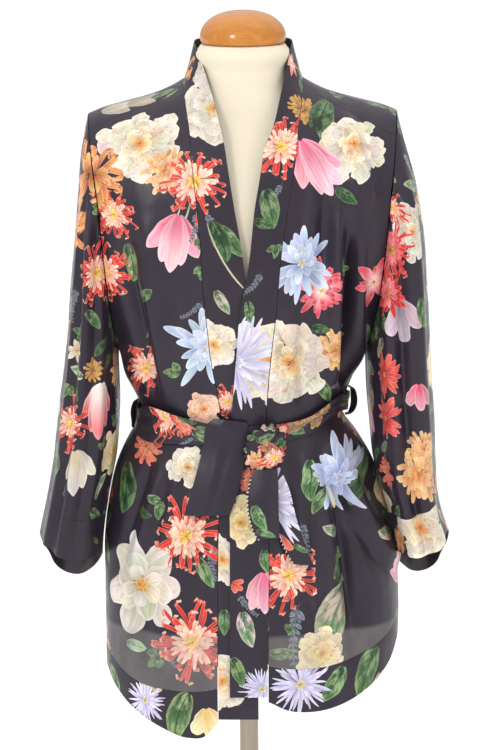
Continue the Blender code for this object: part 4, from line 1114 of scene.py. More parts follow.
def front_surface(wearer):
    top = run_of(turn=shoulder_turn(level_at(80.0)))
    runs = np.arange(top, 0.585, -GRID_STEP)
    level, _ = level_of_run(runs)
    start, end = body_columns(wearer, level, inner_x(wearer, level))
    share = np.linspace(0, 1, FRONT_LINES)
    turns = sign_of(wearer) * (start[:, None] + (end - start)[:, None] * share)
    x = x_of_turn(turns, level[:, None])
    points = cloth_point("front", x, level[:, None], upper=wearer == "left")
    zero = (turn_of_x(sign_of(wearer) * 0.10, level) - start) / (end - start) * (FRONT_LINES - 1)
    surface = Surface(points, zero)

    def place(x, run):
        """Row and column of points at x and a running height."""
        level, _ = level_of_run(run)
        a, b = body_columns(wearer, level, inner_x(wearer, level))
        turn = turn_of_x(x, level)
        return (runs[0] - run) / GRID_STEP, np.clip((turn - a) / (b - a), 0, 1) * (FRONT_LINES - 1)

    return surface, place


def hem_line(wearer, index, start, end, count=60):
    """Rows' heights of a hem line, with the distance along X at each."""
    table = HEM_RIGHT if wearer == "right" else HEM_LEFT
    share = np.linspace(start, end, count)
    height = column(table, share, index)
    return sign_of(wearer) * share * half_width(sign_of(wearer), height), height


def front_edges(wearer, place):
    """Outlines of a front and of its border, as rows and columns."""
    far = shoulder_turn(armhole_level(SEAM_STEP[wearer]))
    near = shoulder_turn(CHEST + (CREST - CHEST) * SEAM_AT_NECK)
    t = np.linspace(0, 1, 40)
    level = level_at(far * (1 + (near / far - 1) * (1 - t)))
    inner, outer = inner_x(wearer, level), side_x(wearer, level)
    top = place(inner + (outer - inner) * t, run_of(turn=shoulder_turn(level)))
    table = HEM_RIGHT if wearer == "right" else HEM_LEFT
    lines = []
    for index in (1, 2):
        height = table[0][index]
        start = abs(float(inner_x(wearer, height))) / float(half_width(sign_of(wearer), height))
        lines.append(place(*hem_line(wearer, index, 1.0, start)))
    last = float(FRONT_LINES - 1)
    seam, hem = lines
    return ringed(top, seam, last, 60), ringed(flipped(seam), hem, last, 12)


def back_surface():
    top = run_of(turn=138.0)
    runs = np.arange(top, 0.585, -GRID_STEP)
    level, turn_up = level_of_run(runs)
    halves = []
    for wearer in ("right", "left"):
        _, end = body_columns(wearer, level, np.zeros(len(level)))
        halves.append(end)
    share = np.linspace(-1, 1, BACK_LINES)
    end = np.where(share[None, :] < 0, halves[0][:, None], halves[1][:, None])
    turns = share[None, :] * end
    x = x_of_turn(turns, level[:, None])
    behind = cloth_point("back", x, level[:, None])
    before = cloth_point("front", x, level[:, None])
    points = np.where((turn_up > 90)[:, None, None], before, behind)
    surface = Surface(points, (BACK_LINES - 1) / 2)

    def place(x, run):
        x, run = np.broadcast_arrays(np.asarray(x, float), np.asarray(run, float))
        level, _ = level_of_run(run)
        right = body_columns("right", level, 0 * level)[1]
        left = body_columns("left", level, 0 * level)[1]
        share = np.sign(x) * turn_of_x(x, level) / np.where(x < 0, right, left)
        return (runs[0] - run) / GRID_STEP, (np.clip(share, -1, 1) + 1) / 2 * (BACK_LINES - 1)

    return surface, place


def back_edges(place):
    """Outlines of the back and of its border, as rows and columns, from the wearer's right to the left."""
    sides = {}
    for wearer in ("right", "left"):
        far = 180 - shoulder_turn(armhole_level(SEAM_STEP[wearer]))
        near = 180 - shoulder_turn(CHEST + (CREST - CHEST) * SEAM_AT_NECK)
        t = np.linspace(1, 0, 40)
        turn = near + (far - near) * t
        arm = np.abs(armhole_x(wearer, level_at(turn)))
        xs = list(SEAM_NECK_X + (arm - SEAM_NECK_X) * t)
        turns = list(turn)
        for x, share, *_ in BACK_NECKLINE[::-1]:
            last_x, last_turn = xs[-1], turns[-1]
            own = float(shoulder_turn(CHEST + (CREST - CHEST) * share))
            for k in range(1, 9):
                xs.append(last_x + (x - last_x) * k / 8)
                turns.append(last_turn + (own - last_turn) * k / 8)
        sides[wearer] = (np.array(xs) * sign_of(wearer), np.array(turns))
    xs = np.concatenate([sides["right"][0], sides["left"][0][::-1][1:]])
    turns = np.concatenate([sides["right"][1], sides["left"][1][::-1][1:]])
    top = place(xs, run_of(turn=turns))
    s = np.linspace(1, -1, 90)
    lines = []
    for index in (1, 2):
        height = column(HEM_BACK, s, index)
        lines.append(place(s * half_width(s, height), height))
    seam, hem = lines
    last = float(BACK_LINES - 1)
    return ringed(top, seam, last, 70), ringed(flipped(seam), hem, last, 12)


def sleeve_section(wearer, turn, z):
    """Points of the sleeve's own form: turn 0 is its inner line, 90 the front, 180 the outer line."""
    rows = sorted(SLEEVE_RIGHT if wearer == "right" else SLEEVE_LEFT)
    outer, inner = column(rows, z, 1), column(rows, z, 2)
    middle_y, depth = column(rows, z, 3), column(rows, z, 4)
    c, s = np.cos(np.radians(turn)), np.sin(np.radians(turn))
    across = np.sign(c) * np.abs(c) ** (2 / SLEEVE_POWER)
    along = np.sign(s) * np.abs(s) ** (2 / SLEEVE_POWER)
    middle, half = (outer + inner) / 2, (outer - inner) / 2
    lift = np.zeros(np.broadcast(turn, z).shape)
    for side, at, top, bottom, height, wide in SLEEVE_FOLDS + SLEEVE_CREASES:
        if side != wearer:
            continue
        inside = (1 - ease(z, top - 0.09, top)) * ease(z, bottom - 0.06, bottom + 0.10)
        lift = lift + height * inside * np.exp(-(((turn - at) / wide) ** 2))
    x = middle - (half + lift) * across
    y = middle_y - (depth + lift) * along
    return np.stack([sign_of(wearer) * x, y, z + 0 * x], axis=-1)


def sleeve_end(turn):
    """Height of the sleeve's edge at each turn: higher in front and outside, lower behind and inside."""
    a = np.radians(turn)
    lean = SLEEVE_END_FRONT * np.sin(a) - SLEEVE_END_OUT * np.cos(a)
    return SLEEVE_END + lean + SLEEVE_END_WAVE * np.cos(2 * a)


def skirt_reach(x, y, z):
    """How far out the body's side lies at this depth."""
    depth = np.where(y < 0, column(CLOTH_SECTIONS, z, 3), column(CLOTH_SECTIONS, z, 4))
    inside = np.clip(np.abs(y) / depth, 0, 1)
    return half_width(x, z) * (1 - inside**PLAN_POWER) ** (1 / PLAN_POWER)


def sleeve_surface(wearer):
    """The sleeve as rings at even heights, kept clear of the skirt."""
    turn = np.linspace(0.25, 359.75, SLEEVE_LINES)
    heights = np.arange(1.425, 0.745, -GRID_STEP)
    start = armhole_point(wearer, turn / 360 * 2 * ARM_STEPS)
    shift = start - sleeve_section(wearer, turn, start[:, 2])
    seam = sleeve_end(turn) + BORDER
    z = heights[:, None] + 0 * turn
    along = np.clip((start[:, 2] - z) / (start[:, 2] - seam), 0, 1)
    points = sleeve_section(wearer, turn + 0 * z, z) + shift * ((1 - along) ** 2.5)[..., None]
    steps = turn / 360 * 2 * ARM_STEPS
    low = 1 - ease(np.minimum(steps, 2 * ARM_STEPS - steps), 5, 10)
    points[..., 0] += sign_of(wearer) * (ARMHOLE_GAP + UNDERARM_GAP * low) * (1 - ease(along, 0, 0.3))
    below = np.clip(z, None, UNDERARM - 0.0101)
    clear = skirt_reach(points[..., 0], points[..., 1], below) + SLEEVE_CLEAR
    clear = clear * ease(UNDERARM - z, 0.01, 0.10)
    points[..., 0] = sign_of(wearer) * np.maximum(np.abs(points[..., 0]), clear)
    centre = (sign_of(wearer) * 0.212, 0.0)
    surface = Surface(points, (SLEEVE_LINES - 1) / 2, centre)
    columns = np.arange(SLEEVE_LINES, dtype=float)
    rows = [(heights[0] - level) / GRID_STEP for level in (start[:, 2], seam, seam - BORDER)]
    last = float(SLEEVE_LINES - 1)
    arm, middle, end = ((row, columns) for row in rows)
    return surface, [ringed(upper, flipped(lower), last, 50) for upper, lower in ((arm, middle), (middle, end))]


def band_row(wearer, level):
    """One line across a neckband on the front, from its seam to its free edge."""
    upper = wearer == "left"
    top = band_table(wearer)[-1][0]
    seam_x = float(inner_x(wearer, level))
    if level <= top:
        x = np.linspace(seam_x, column(band_table(wearer), level, 2), BAND_LINES)
        return cloth_point("front", x, level, upper=upper)
    seam = cloth_point("front", seam_x, level, upper=upper)
    index = 1 if wearer == "right" else 2
    free = np.array([column(NECK_EDGE, level, k) for k in (index, 3, 4)]) * (sign_of(wearer), 1, 1)
    return np.linspace(seam, free, BAND_LINES)


def band_surface(wearer, end):
    """A neckband from the middle of the back to its lower end."""
    side = sign_of(wearer)
    rows = []
    for x, share, *free in BACK_NECKLINE:
        seam = cloth_point("back", side * x, CHEST + (CREST - CHEST) * share)
        rows.append(np.linspace(seam, np.array(free) * (side, 1, 1), BAND_LINES))
    top = float(level_at(shoulder_turn(CHEST + (CREST - CHEST) * SEAM_AT_NECK)))
    for level in (top, 1.441, 1.430, 1.418, 1.405, 1.390, 1.371, 1.350, 1.330):
        rows.append(band_row(wearer, level))
    for level in np.arange(1.310, end + 0.004, -0.012):
        rows.append(band_row(wearer, float(level)))
    rows.append(band_row(wearer, end))
    rows = np.array(rows)
    rows[0, :, 0] = side * SEAM / 2
    middle = rows.mean(axis=1)
    length = np.concatenate([[0], np.cumsum(np.linalg.norm(np.diff(middle, axis=0), axis=1))])
    dense = smooth(np.arange(0, length[-1], GRID_STEP), length, rows)
    dense = np.concatenate([dense, rows[-1:]])
    return Surface(dense, (BAND_LINES - 1) / 2)


def waist_point(turn, z, off):
    """Points round the waist, turn 0 in front and 90 at the wearer's left."""
    angle = np.radians(turn)
    side = np.sin(angle)
    x = np.sign(side) * np.abs(side) ** (2 / PLAN_POWER) * half_width(side, z)
    before = cloth_point("front", x, z, off=off)
    behind = cloth_point("back", x, z, off=off)
    return np.where((np.cos(angle) >= 0)[..., None], before, behind)


def whole_edges(surface, across=None):
    """The outline of a piece that covers its whole surface, with as many points across as are given."""
    rows, columns = surface.across.shape
    bottom, last, count = float(rows - 1), float(columns - 1), across or columns
    return (
        (np.zeros(count), np.linspace(0, last, count)),
        (np.linspace(0, bottom, rows), np.full(rows, last)),
        (np.full(count, bottom), np.linspace(last, 0, count)),
        (np.linspace(bottom, 0, rows), np.zeros(rows)),
    )


def belt_surface():
    """The belt's run round the waist, an open strip whose two ends meet behind the knot."""
    turn = BELT_START + BELT_SKIP + (360 - 2 * BELT_SKIP) * np.linspace(0, 1, 420)
    place = (turn + 180) % 360 - 180
    middle, width = column(BELT_LINE, place, 1), column(BELT_LINE, place, 2)
    front = np.maximum(0.0, np.cos(np.radians(place)))
    off = BELT_LIFT + OVERLAP_LIFT * np.minimum(1.0, 3 * front)
    u = np.linspace(0, 1, 25)[:, None]
    z = middle + width * (0.5 - u)
    pleat = np.zeros(np.broadcast(place, u).shape)
    for start, end, high, low, height, wide in BELT_PLEATS:
        along = np.clip((place - start) / (end - start), 0, 1)
        inside = ease(place, start - 6, start + 6) * (1 - ease(place, end - 6, end + 6))
        line = high + (low - high) * along
        pleat = pleat + height * inside * np.exp(-(((u - line) / wide) ** 2))
    bulge = 0.0016 * np.sin(np.pi * u)
    points = waist_point(place + 0 * u, z, off + bulge + pleat)
    # A belt is straight from edge to edge, so its lines lie no deeper than its outermost point.
    out = np.hypot(points[..., 0], points[..., 1]) - pleat
    points[..., :2] *= ((out.max(axis=0) / out) ** 0.5)[..., None]
    return Surface(points, 100.0)


def serging_tree():
    """Thread looped over an edge: arcs of thread at even steps along a line, every second one of them."""
    name = "serged edge"
    if name in bpy.data.node_groups:
        return bpy.data.node_groups[name]
    tree = bpy.data.node_groups.new(name, "GeometryNodeTree")
    for label, kind, value in (
        ("Line", "NodeSocketGeometry", None),
        ("Spacing", "NodeSocketFloat", 0.0026),
        ("Reach", "NodeSocketFloat", 0.0015),
        ("Thread", "NodeSocketFloat", 0.0007),
        ("Lean", "NodeSocketFloat", 0.5),
        ("Turn", "NodeSocketInt", 0),
        ("Seed", "NodeSocketInt", 3),
        ("Finish", "NodeSocketMaterial", None),
    ):
        socket = tree.interface.new_socket(label, in_out="INPUT", socket_type=kind)
        if value is not None:
            socket.default_value = value
    tree.interface.new_socket("Threads", in_out="OUTPUT", socket_type="NodeSocketGeometry")
    given, result = tree.nodes.new("NodeGroupInput").outputs, tree.nodes.new("NodeGroupOutput")

    def node(kind, links=(), fixed=(), **values):
        made = add(tree, kind, links, **values)
        for label, value in dict(fixed).items():
            made.inputs[label].default_value = value
        return made

    line = node("GeometryNodeMeshToCurve", {"Mesh": given["Line"]}).outputs[0]
    even = node("GeometryNodeResampleCurve", {"Curve": line, "Length": given["Spacing"]}, mode="LENGTH")
    facing = node("GeometryNodeInputNamedAttribute", (), {"Name": "facing"}, data_type="FLOAT_VECTOR")
    ahead = node("GeometryNodeInputTangent").outputs[0]
    first = node("FunctionNodeAlignRotationToVector", {"Vector": ahead}, axis="X")
    ways = {"Rotation": first.outputs[0], "Vector": facing.outputs["Attribute"]}
    turned = node("FunctionNodeAlignRotationToVector", ways, axis="Z", pivot_axis="X")
    sweep = {"Resolution": 9, "Start Angle": math.radians(-115), "Sweep Angle": math.radians(230)}
    arc = node("GeometryNodeCurveArc", {"Radius": given["Reach"]}, sweep)
    upright = Matrix(((0, 0, -1), (-1, 0, 0), (0, 1, 0))).to_euler()
    stand = node("GeometryNodeTransform", {"Geometry": arc.outputs[0]}, {"Rotation": upright})
    lean = node("ShaderNodeCombineXYZ", {"Z": given["Lean"]})
    leant = node("GeometryNodeTransform", {"Geometry": stand.outputs[0], "Rotation": lean.outputs[0]})
    section = node("GeometryNodeCurvePrimitiveCircle", {"Radius": given["Thread"]}, {"Resolution": 7})
    sides = {"Curve": leant.outputs[0], "Profile Curve": section.outputs[0]}
    loop = node("GeometryNodeCurveToMesh", sides, {"Fill Caps": True})
    shifted = node("ShaderNodeMath", {0: node("GeometryNodeInputIndex").outputs[0], 1: given["Turn"]}, operation="ADD")
    odd = node("ShaderNodeMath", {0: shifted.outputs[0]}, {1: 2.0}, operation="FLOORED_MODULO")
    uneven = node("FunctionNodeRandomValue", {"Seed": given["Seed"]}, {2: 0.88, 3: 1.12}, data_type="FLOAT")
    where = {"Points": even.outputs[0], "Selection": odd.outputs[0], "Instance": loop.outputs[0]}
    where.update({"Rotation": turned.outputs[0], "Scale": uneven.outputs[1]})
    placed = node("GeometryNodeInstanceOnPoints", where)
    real = node("GeometryNodeRealizeInstances", {"Geometry": placed.outputs[0]})
    soft = node("GeometryNodeSetShadeSmooth", {"Geometry": real.outputs[0]})
    done = node("GeometryNodeSetMaterial", {"Geometry": soft.outputs[0], "Material": given["Finish"]})
    tree.links.new(done.outputs[0], result.inputs[0])
    return tree


def linked(name, mesh):
    """A new object of a mesh, a light or a camera, in the scene."""
    obj = bpy.data.objects.new(name, mesh)
    bpy.context.scene.collection.objects.link(obj)
    return obj


def plain_mesh(obj, name):
    """The object with its modifiers' result as its own mesh."""
    made = bpy.data.meshes.new_from_object(obj.evaluated_get(bpy.context.evaluated_depsgraph_get()))
    obj.modifiers.clear()
    obj.data = made
    made.name = name
    return obj


def serged(name, node, line, facing, finish, **sizes):
    """Thread loops along one edge of a piece of cloth, as a plain mesh."""
    mesh = bpy.data.meshes.new(name)
    mesh.from_pydata(line.tolist(), [(k, k + 1) for k in range(len(line) - 1)], [])
    layer = mesh.attributes.new("facing", "FLOAT_VECTOR", "POINT")
    layer.data.foreach_set("vector", facing.astype(np.float32).ravel())
    obj = linked(name, mesh)
    modifier = obj.modifiers.new("Serging", "NODES")
    modifier.node_group = serging_tree()
    sizes["Finish"] = finish
    for item in modifier.node_group.interface.items_tree:
        if item.in_out == "INPUT" and item.name in sizes:
            modifier[item.identifier] = sizes[item.name]
    return dressed(plain_mesh(obj, name), node, finish)


def edge_threads(node, surface):
    """Pale and dark thread in turn along the left edge of a piece, where its table has it."""
    if node not in SERGED:
        return []
    start, end = (int(len(surface.points) * share) for share in SERGED[node])
    line, facing = surface.points[start:end, 0], surface.normals[start:end, 0]
    threads = (("pale", PALE_THREAD), ("dark", DARK_THREAD))
    return [
        serged(f"{node}_serging_1_{tone}", node, line, facing, thread(f"{tone}_thread", rgb), Turn=turn, Seed=3)
        for turn, (tone, rgb) in enumerate(threads)
    ]


def knot_place():
    """The middle of the knot."""
    front = cloth_point("front", *KNOT_MIDDLE)
    return np.array([KNOT_MIDDLE[0], float(front[1]) - KNOT_LIFT + 0.002, KNOT_MIDDLE[1]])


def knot_surface(lean, size, half, reach, gathers, depth):
    """One turn of the belt round the knot: a gathered band that crosses its front at a lean."""
    turn = np.radians(np.linspace(-reach, reach, 80))[:, None]
    share = np.linspace(-1, 1, 46)
    across = half * share
    round_it = np.sqrt(1 - across**2)
    waves = depth * np.cos(math.pi * gathers * share + 0.8 * np.sin(turn))
    waves = waves + 0.4 * depth * np.cos(7.3 * share - 2 * turn)
    lift = size * (1 + waves)
    a = math.radians(lean)
    along, ahead = round_it * np.sin(turn), round_it * np.cos(turn)
    right = along * math.cos(a) - across * math.sin(a)
    up = along * math.sin(a) + across * math.cos(a)
    points = knot_place() + np.stack([right * lift, -ahead * lift, up * lift], axis=-1) * KNOT_SIZE
    return Surface(points, 22.5, tuple(knot_place()[:2]))


def smooth_piece(name, points, faces):
    """A new object of points and faces, shaded smooth."""
    mesh = bpy.data.meshes.new(name)
    mesh.from_pydata([tuple(p) for p in points], [], faces)
    mesh.shade_smooth()
    return linked(name, mesh)


def knot_heart(name):
    """The rounded middle that the knot's turns are wound over."""
    ring_angles, steps = np.linspace(0, math.pi, 25), np.linspace(0, 2 * math.pi, 41)[:-1]
    points = []
    for a in ring_angles[1:-1]:
        for b in steps:
            spot = np.array([math.sin(a) * math.cos(b), math.sin(a) * math.sin(b), math.cos(a)])
            ridge = 0.80 + 0.03 * math.cos(5 * b + 3 * a)
            points.append(knot_place() + spot * ridge * KNOT_SIZE)
    top, low, n = len(points), len(points) + 1, len(steps)
    points += [knot_place() + np.array([0, 0, side * 0.8 * KNOT_SIZE[2]]) for side in (1, -1)]
    faces = []
    for i in range(len(ring_angles) - 3):
        for j in range(n):
            k = (j + 1) % n
            faces.append((i * n + j, (i + 1) * n + j, (i + 1) * n + k, i * n + k))
    last = (len(ring_angles) - 3) * n
    faces += [(top, j, (j + 1) % n) for j in range(n)]
    faces += [(low, last + (j + 1) % n, last + j) for j in range(n)]
    return smooth_piece(name, points, faces)


def carrier_surface(wearer):
    """The narrow loop at one side seam that holds the belt."""
    turn = 90 * sign_of(wearer)
    middle = float(column(BELT_LINE, turn, 1))
    a = np.linspace(0, math.pi, 60)
    z = middle + CARRIER_HEIGHT / 2 * np.cos(a)
    base, waist = waist_point(turn, z, 0)[:, 0], float(waist_point(turn, np.array([middle]), 0)[0, 0])
    off = CARRIER_BASE[wearer] + CARRIER_LIFT * np.sin(a) ** 0.7
    x = sign_of(wearer) * (np.abs(base) * (1 - np.sin(a)) + abs(waist) * np.sin(a) + off)
    share = np.linspace(-0.5, 0.5, 9) * CARRIER_BREADTH
    twist = CARRIER_TWIST * np.sin(a)[:, None]
    x = x[:, None] - sign_of(wearer) * (share * np.sin(twist) + 0.003 * np.sin(a)[:, None])
    points = np.stack(np.broadcast_arrays(x, share * np.cos(twist), z[:, None]), axis=-1)
    return Surface(points, 4.0, (float(x[0, 0]) * 0.98, 0.0))


def strip_surface(table, columns, centre, ripples):
    """A strip that hangs off the front, from a table of its edges."""
    keys = [row[0] for row in table]
    drop = [math.hypot(b[1] - a[1], b[2] - a[2]) for a, b in zip(table, table[1:])]
    rows = int(sum(drop) / GRID_STEP * 1.5) + 8
    t = np.linspace(0, 1, rows)
    values = smooth(t, keys, np.array(table)[:, 1:])
    u = np.linspace(0, 1, columns)
    x = values[:, 0:1] + (values[:, 2:3] - values[:, 0:1]) * u
    z = values[:, 1:2] + (values[:, 3:4] - values[:, 1:2]) * u
    bow = 0.0022 * np.sin(np.pi * u)
    for at, drift, height, wide in ripples:
        bow = bow + height * np.exp(-(((u - at - drift * t[:, None]) / wide) ** 2))
    points = cloth_point("front", x, np.minimum(z, 1.03))
    points[..., 1] += fold_height("front", x, z) - values[:, 4:5] - bow
    points[..., 2] = z
    return Surface(points, (columns - 1) / 2, centre)


# ---- petals, laid on flat cloth


def jitter(rng, colour, amount=0.06):
    """A colour a little lighter or darker, and a little off its hue."""
    shift = 1 + rng.normal(0, amount) + rng.normal(0, amount * 0.4, 3)
    return tuple(np.clip(np.array(colour) * shift, 0, 255))


def petal(rng, x, y, heading, length, width, shape, colours, bend=0.0, kind=PETAL, ruffle=0.0):
    """One petal: where it starts, which way it points, its size and bend, and its base, tip and edge colours."""
    phase = rng.uniform(0, 6.28)
    colours = [jitter(rng, colour, 0.05) for colour in colours]
    return {
        "at": (x, y), "heading": heading, "length": length, "width": width, "bend": bend,
        "shape": shape, "colours": colours, "kind": kind, "ruffle": ruffle, "phase": phase,
    }  # fmt: skip


def ring(rng, count, radius, length, width, shape, colours, spread, bend, uneven, kind, ruffle):
    """Petals round a centre, in a shuffled order."""
    first = rng.uniform(0, 6.28)
    petals = []
    for k in range(count):
        heading = first + 2 * math.pi * k / count + rng.normal(0, spread)
        own = length * (1 + rng.normal(0, uneven))
        curl = rng.uniform(-1, 1) * bend
        x, y = radius * math.cos(heading), radius * math.sin(heading)
        wide = width * (1 + rng.normal(0, 0.10))
        petals.append(petal(rng, x, y, heading, own, wide, shape, colours, curl, kind, ruffle))
    rng.shuffle(petals)
    return petals


def fan(rng, heading, spread, count, length, width, shape, colours, ruffle=0.0):
    """Petals from one point within an angle, the outer ones first."""
    petals = []
    for k in sorted(range(count), key=lambda k: -abs(k - (count - 1) / 2)):
        share = 2 * k / max(count - 1, 1) - 1
        turn = heading + spread * share + rng.normal(0, 0.05)
        own = length * (1 - 0.12 * abs(share) + rng.normal(0, 0.05))
        petals.append(petal(rng, 0, 0, turn, own, width, shape, colours, share * spread * 6, ruffle=ruffle))
    return petals


def hooked(rng, petals, size, width, colours):
    """Petals that end in a small curl."""
    made = []
    for item in petals:
        end = petal_line(item, np.array(item["length"] * 0.90), np.array(0.0))
        heading = item["heading"] + item["bend"] * item["length"]
        turn = rng.choice((-1, 1)) * rng.uniform(3.2, 5.0) / size
        made += [item, petal(rng, float(end[0]), float(end[1]), heading, size, width, STRAP, colours, turn)]
    return made


def stamens(rng, r, heading, palette):
    """The dotted heart of a broad open flower."""
    petals = [petal(rng, -0.08 * r, 0, 0, 0.16 * r, 0.08 * r, ROUND, palette[HEART])]
    for _ in range(22):
        a, d = rng.uniform(0, 6.28), rng.uniform(0.02, 0.16) * r
        petals.append(petal(rng, d * math.cos(a), d * math.sin(a), a, 0.075 * r, 0.024 * r, ROUND, palette[HEART]))
    return petals


def cup(rng, r, heading, palette):
    """The inner petals of a flower that is seen a little from the side."""
    petals = fan(rng, heading, 1.1, 5, 0.40 * r, 0.085 * r, LANCE, palette[INNER])
    return petals + fan(rng, heading, 2.4, 5, 0.16 * r, 0.035 * r, LEAF, palette[HEART])


def tulip(rng, r, heading, palette):
    """A drooping flower seen from the side, its petals closed above and spread below."""
    petals = fan(rng, heading, 0.50, 4, 1.62 * r, 0.29 * r, BELL, palette[OUTER], 0.06)
    petals += fan(rng, heading, 0.20, 3, 1.86 * r, 0.31 * r, BELL, palette[INNER], 0.05)
    for item in petals:
        x, y = item["at"]
        item["at"] = (x - 0.85 * r * math.cos(heading), y - 0.85 * r * math.sin(heading))
    return petals


def leaf(rng, r, heading, palette):
    """One leaf with a midrib."""
    curl = rng.uniform(-0.35, 0.35) / r
    x, y = -r * math.cos(heading), -r * math.sin(heading)
    return [petal(rng, x, y, heading, 2.3 * r, 0.50 * r, BLADE, palette[0], curl, LEAF_BLADE, 0.04)]


def leaves(rng, r, heading, palette):
    """A few leaves from one point."""
    petals = []
    for turn, size in ((-0.9, 1.2), (0.8, 1.3), (-0.15, 1.7)):
        own = heading + turn + rng.normal(0, 0.12)
        curl = rng.uniform(-0.4, 0.4) / r
        petals.append(petal(rng, 0, 0, own, size * r, 0.42 * r, BLADE, palette[0], curl, LEAF_BLADE, 0.04))
    return petals


def spray(rng, r, heading, palette):
    """A twig with small leaves in pairs."""
    bend = rng.uniform(-0.5, 0.5) / r
    petals = [petal(rng, 0, 0, heading, 2 * r, 0.018 * r, STRAP, palette[HEART], bend)]
    c, d = math.cos(heading), math.sin(heading)
    for k in range(9):
        s = 2 * r * (0.15 + 0.095 * k)
        x = math.sin(bend * s) / bend if abs(bend) > 1e-6 else s
        y = (1 - math.cos(bend * s)) / bend if abs(bend) > 1e-6 else 0.0
        for side in (-1, 1):
            own = heading + bend * s + side * rng.uniform(0.6, 0.95)
            size = r * rng.uniform(0.22, 0.32) * (1.15 - 0.06 * k)
            at = (x * c - y * d, x * d + y * c)
            petals.append(petal(rng, *at, own, size, 0.26 * size, LEAF, palette[0], kind=LEAF_BLADE))
    return petals


def stem(rng, r, heading, palette):
    """A thin pale stalk."""
    curl = rng.uniform(-0.4, 0.4) / r
    return [petal(rng, 0, 0, heading, 2 * r, 0.0012, STRAP, palette[0], curl, HAIRLINE)]


def loose(rng, r, heading, palette):
    """A few broad petals of a flower that the panel's edge cuts off."""
    return fan(rng, heading, 0.55, 3, 1.6 * r, 0.34 * r, ROUND, palette[0], 0.08)


# What a kind of flower has besides its rings
MORE = {
    "magnolia": stamens, "lotus": cup, "tulip": tulip, "leaf": leaf, "leaves": leaves, "spray": spray, "stem": stem,
    "loose": loose,
}  # fmt: skip


def bloom(rng, name, r, heading, palette):
    """The petals of one flower of a kind, in the order in which they are printed."""
    petals = []
    kind = MOTTLED if name == "peony" else PETAL
    for count, at, length, width, shape, part, spread, bend, uneven, ruffle, *curls in RINGS.get(name, ()):
        sizes = (at * r, length * r, width * r)
        row = ring(rng, count, *sizes, shape, palette[part], spread, bend / r, uneven, kind, ruffle)
        petals += hooked(rng, row, curls[0] * r, curls[1] * r, palette[INNER]) if curls else row
    return petals + (MORE[name](rng, r, heading, palette) if name in MORE else [])


def profile(item, u):
    """A petal's half-width at shares u of its length."""
    a, b = item["shape"]
    top = a / (a + b)
    wide = u**a * (1 - u) ** b / (top**a * (1 - top) ** b)
    waves = 1 + item["ruffle"] * np.sin(item["phase"] + 15 * u) * ease(u, 0.1, 0.4)
    return item["width"] * wide * waves


def petal_line(item, s, off):
    """Flat points at distances s along a petal's centre line and off to its side."""
    bend, heading = item["bend"], item["heading"]
    if abs(bend) < 0.5:
        x, y = s, bend * s**2 / 2
    else:
        x, y = np.sin(bend * s) / bend, (1 - np.cos(bend * s)) / bend
    x, y = x - off * np.sin(bend * s), y + off * np.cos(bend * s)
    c, d = math.cos(heading), math.sin(heading)
    return np.stack([item["at"][0] + x * c - y * d, item["at"][1] + x * d + y * c], axis=-1)


def petal_outline(item):
    steps = int(np.clip(item["length"] / PETAL_STEP, 3, 13)) + (4 if item["ruffle"] else 0)
    u = (1 - np.cos(np.linspace(0, math.pi, steps + 1))) / 2
    u = 0.03 + 0.97 * u
    wide = profile(item, u)
    s = u * item["length"]
    left = petal_line(item, s, wide)
    right = petal_line(item, s[-2::-1], -wide[-2::-1])
    return np.concatenate([left, right])


def petal_place(item, points):
    """Where flat points lie on a petal: the share of its length, and the share of its half-width to either side."""
    c, d = math.cos(item["heading"]), math.sin(item["heading"])
    x0, y0 = points[:, 0] - item["at"][0], points[:, 1] - item["at"][1]
    x, y = x0 * c + y0 * d, -x0 * d + y0 * c
    bend = item["bend"]
    if abs(bend) < 0.5:
        s, off = x, y - bend * x**2 / 2
    else:
        side = math.copysign(1, bend)
        s = np.arctan2(side * x, side * (1 / bend - y)) / bend
        off = 1 / bend - side * np.hypot(x, 1 / bend - y)
    u = np.clip(s / item["length"], 0, 1)
    return u, np.clip(off / np.maximum(profile(item, np.clip(u, 0.03, 0.985)), 1e-5), -1, 1)


def inside(shape, points):
    """Which points lie inside a closed outline."""
    low, high = shape.min(axis=0), shape.max(axis=0)
    near = np.flatnonzero(((points >= low) & (points <= high)).all(axis=1))
    x, y = points[near].T
    within = np.zeros(len(near), bool)
    for (x0, y0), (x1, y1) in zip(shape, np.roll(shape, -1, axis=0)):
        if y0 != y1:
            cross = (y0 > y) != (y1 > y)
            within ^= cross & (x < (x1 - x0) * (y - y0) / (y1 - y0) + x0)
    result = np.zeros(len(points), bool)
    result[near[within]] = True
    return result


def by_x(points):
    """The order that sorts points by x, and their sorted x."""
    order = np.argsort(points[:, 0], kind="stable")
    return order, points[order, 0]


def within(shape, points, order, xs):
    """Numbers of the points inside a closed outline."""
    first, last = np.searchsorted(xs, (shape[:, 0].min(), shape[:, 0].max()))
    near = order[first:last]
    return near[inside(shape, points[near])]


def palette_of(name):
    """A palette's parts, each as its base, tip and edge colours of 0 to 255."""
    colours = [(number >> 16, number >> 8 & 255, number & 255) for number in PALETTES[name]]
    return [colours[k : k + 3] for k in range(0, len(colours), 3)]


def printed(kind, size, turn, palette, at, mirror, rng):
    """The petals of one flower, moved to its place on the cloth."""
    petals = bloom(rng, kind, size / 1000, math.radians(turn), palette_of(palette))
    for item in petals:
        dx, dy = item["at"]
        if mirror < 0:
            item["heading"] = math.pi - item["heading"]
            item["bend"] = -item["bend"]
        item["at"] = (at[0] + mirror * dx, at[1] + dy)
    return petals


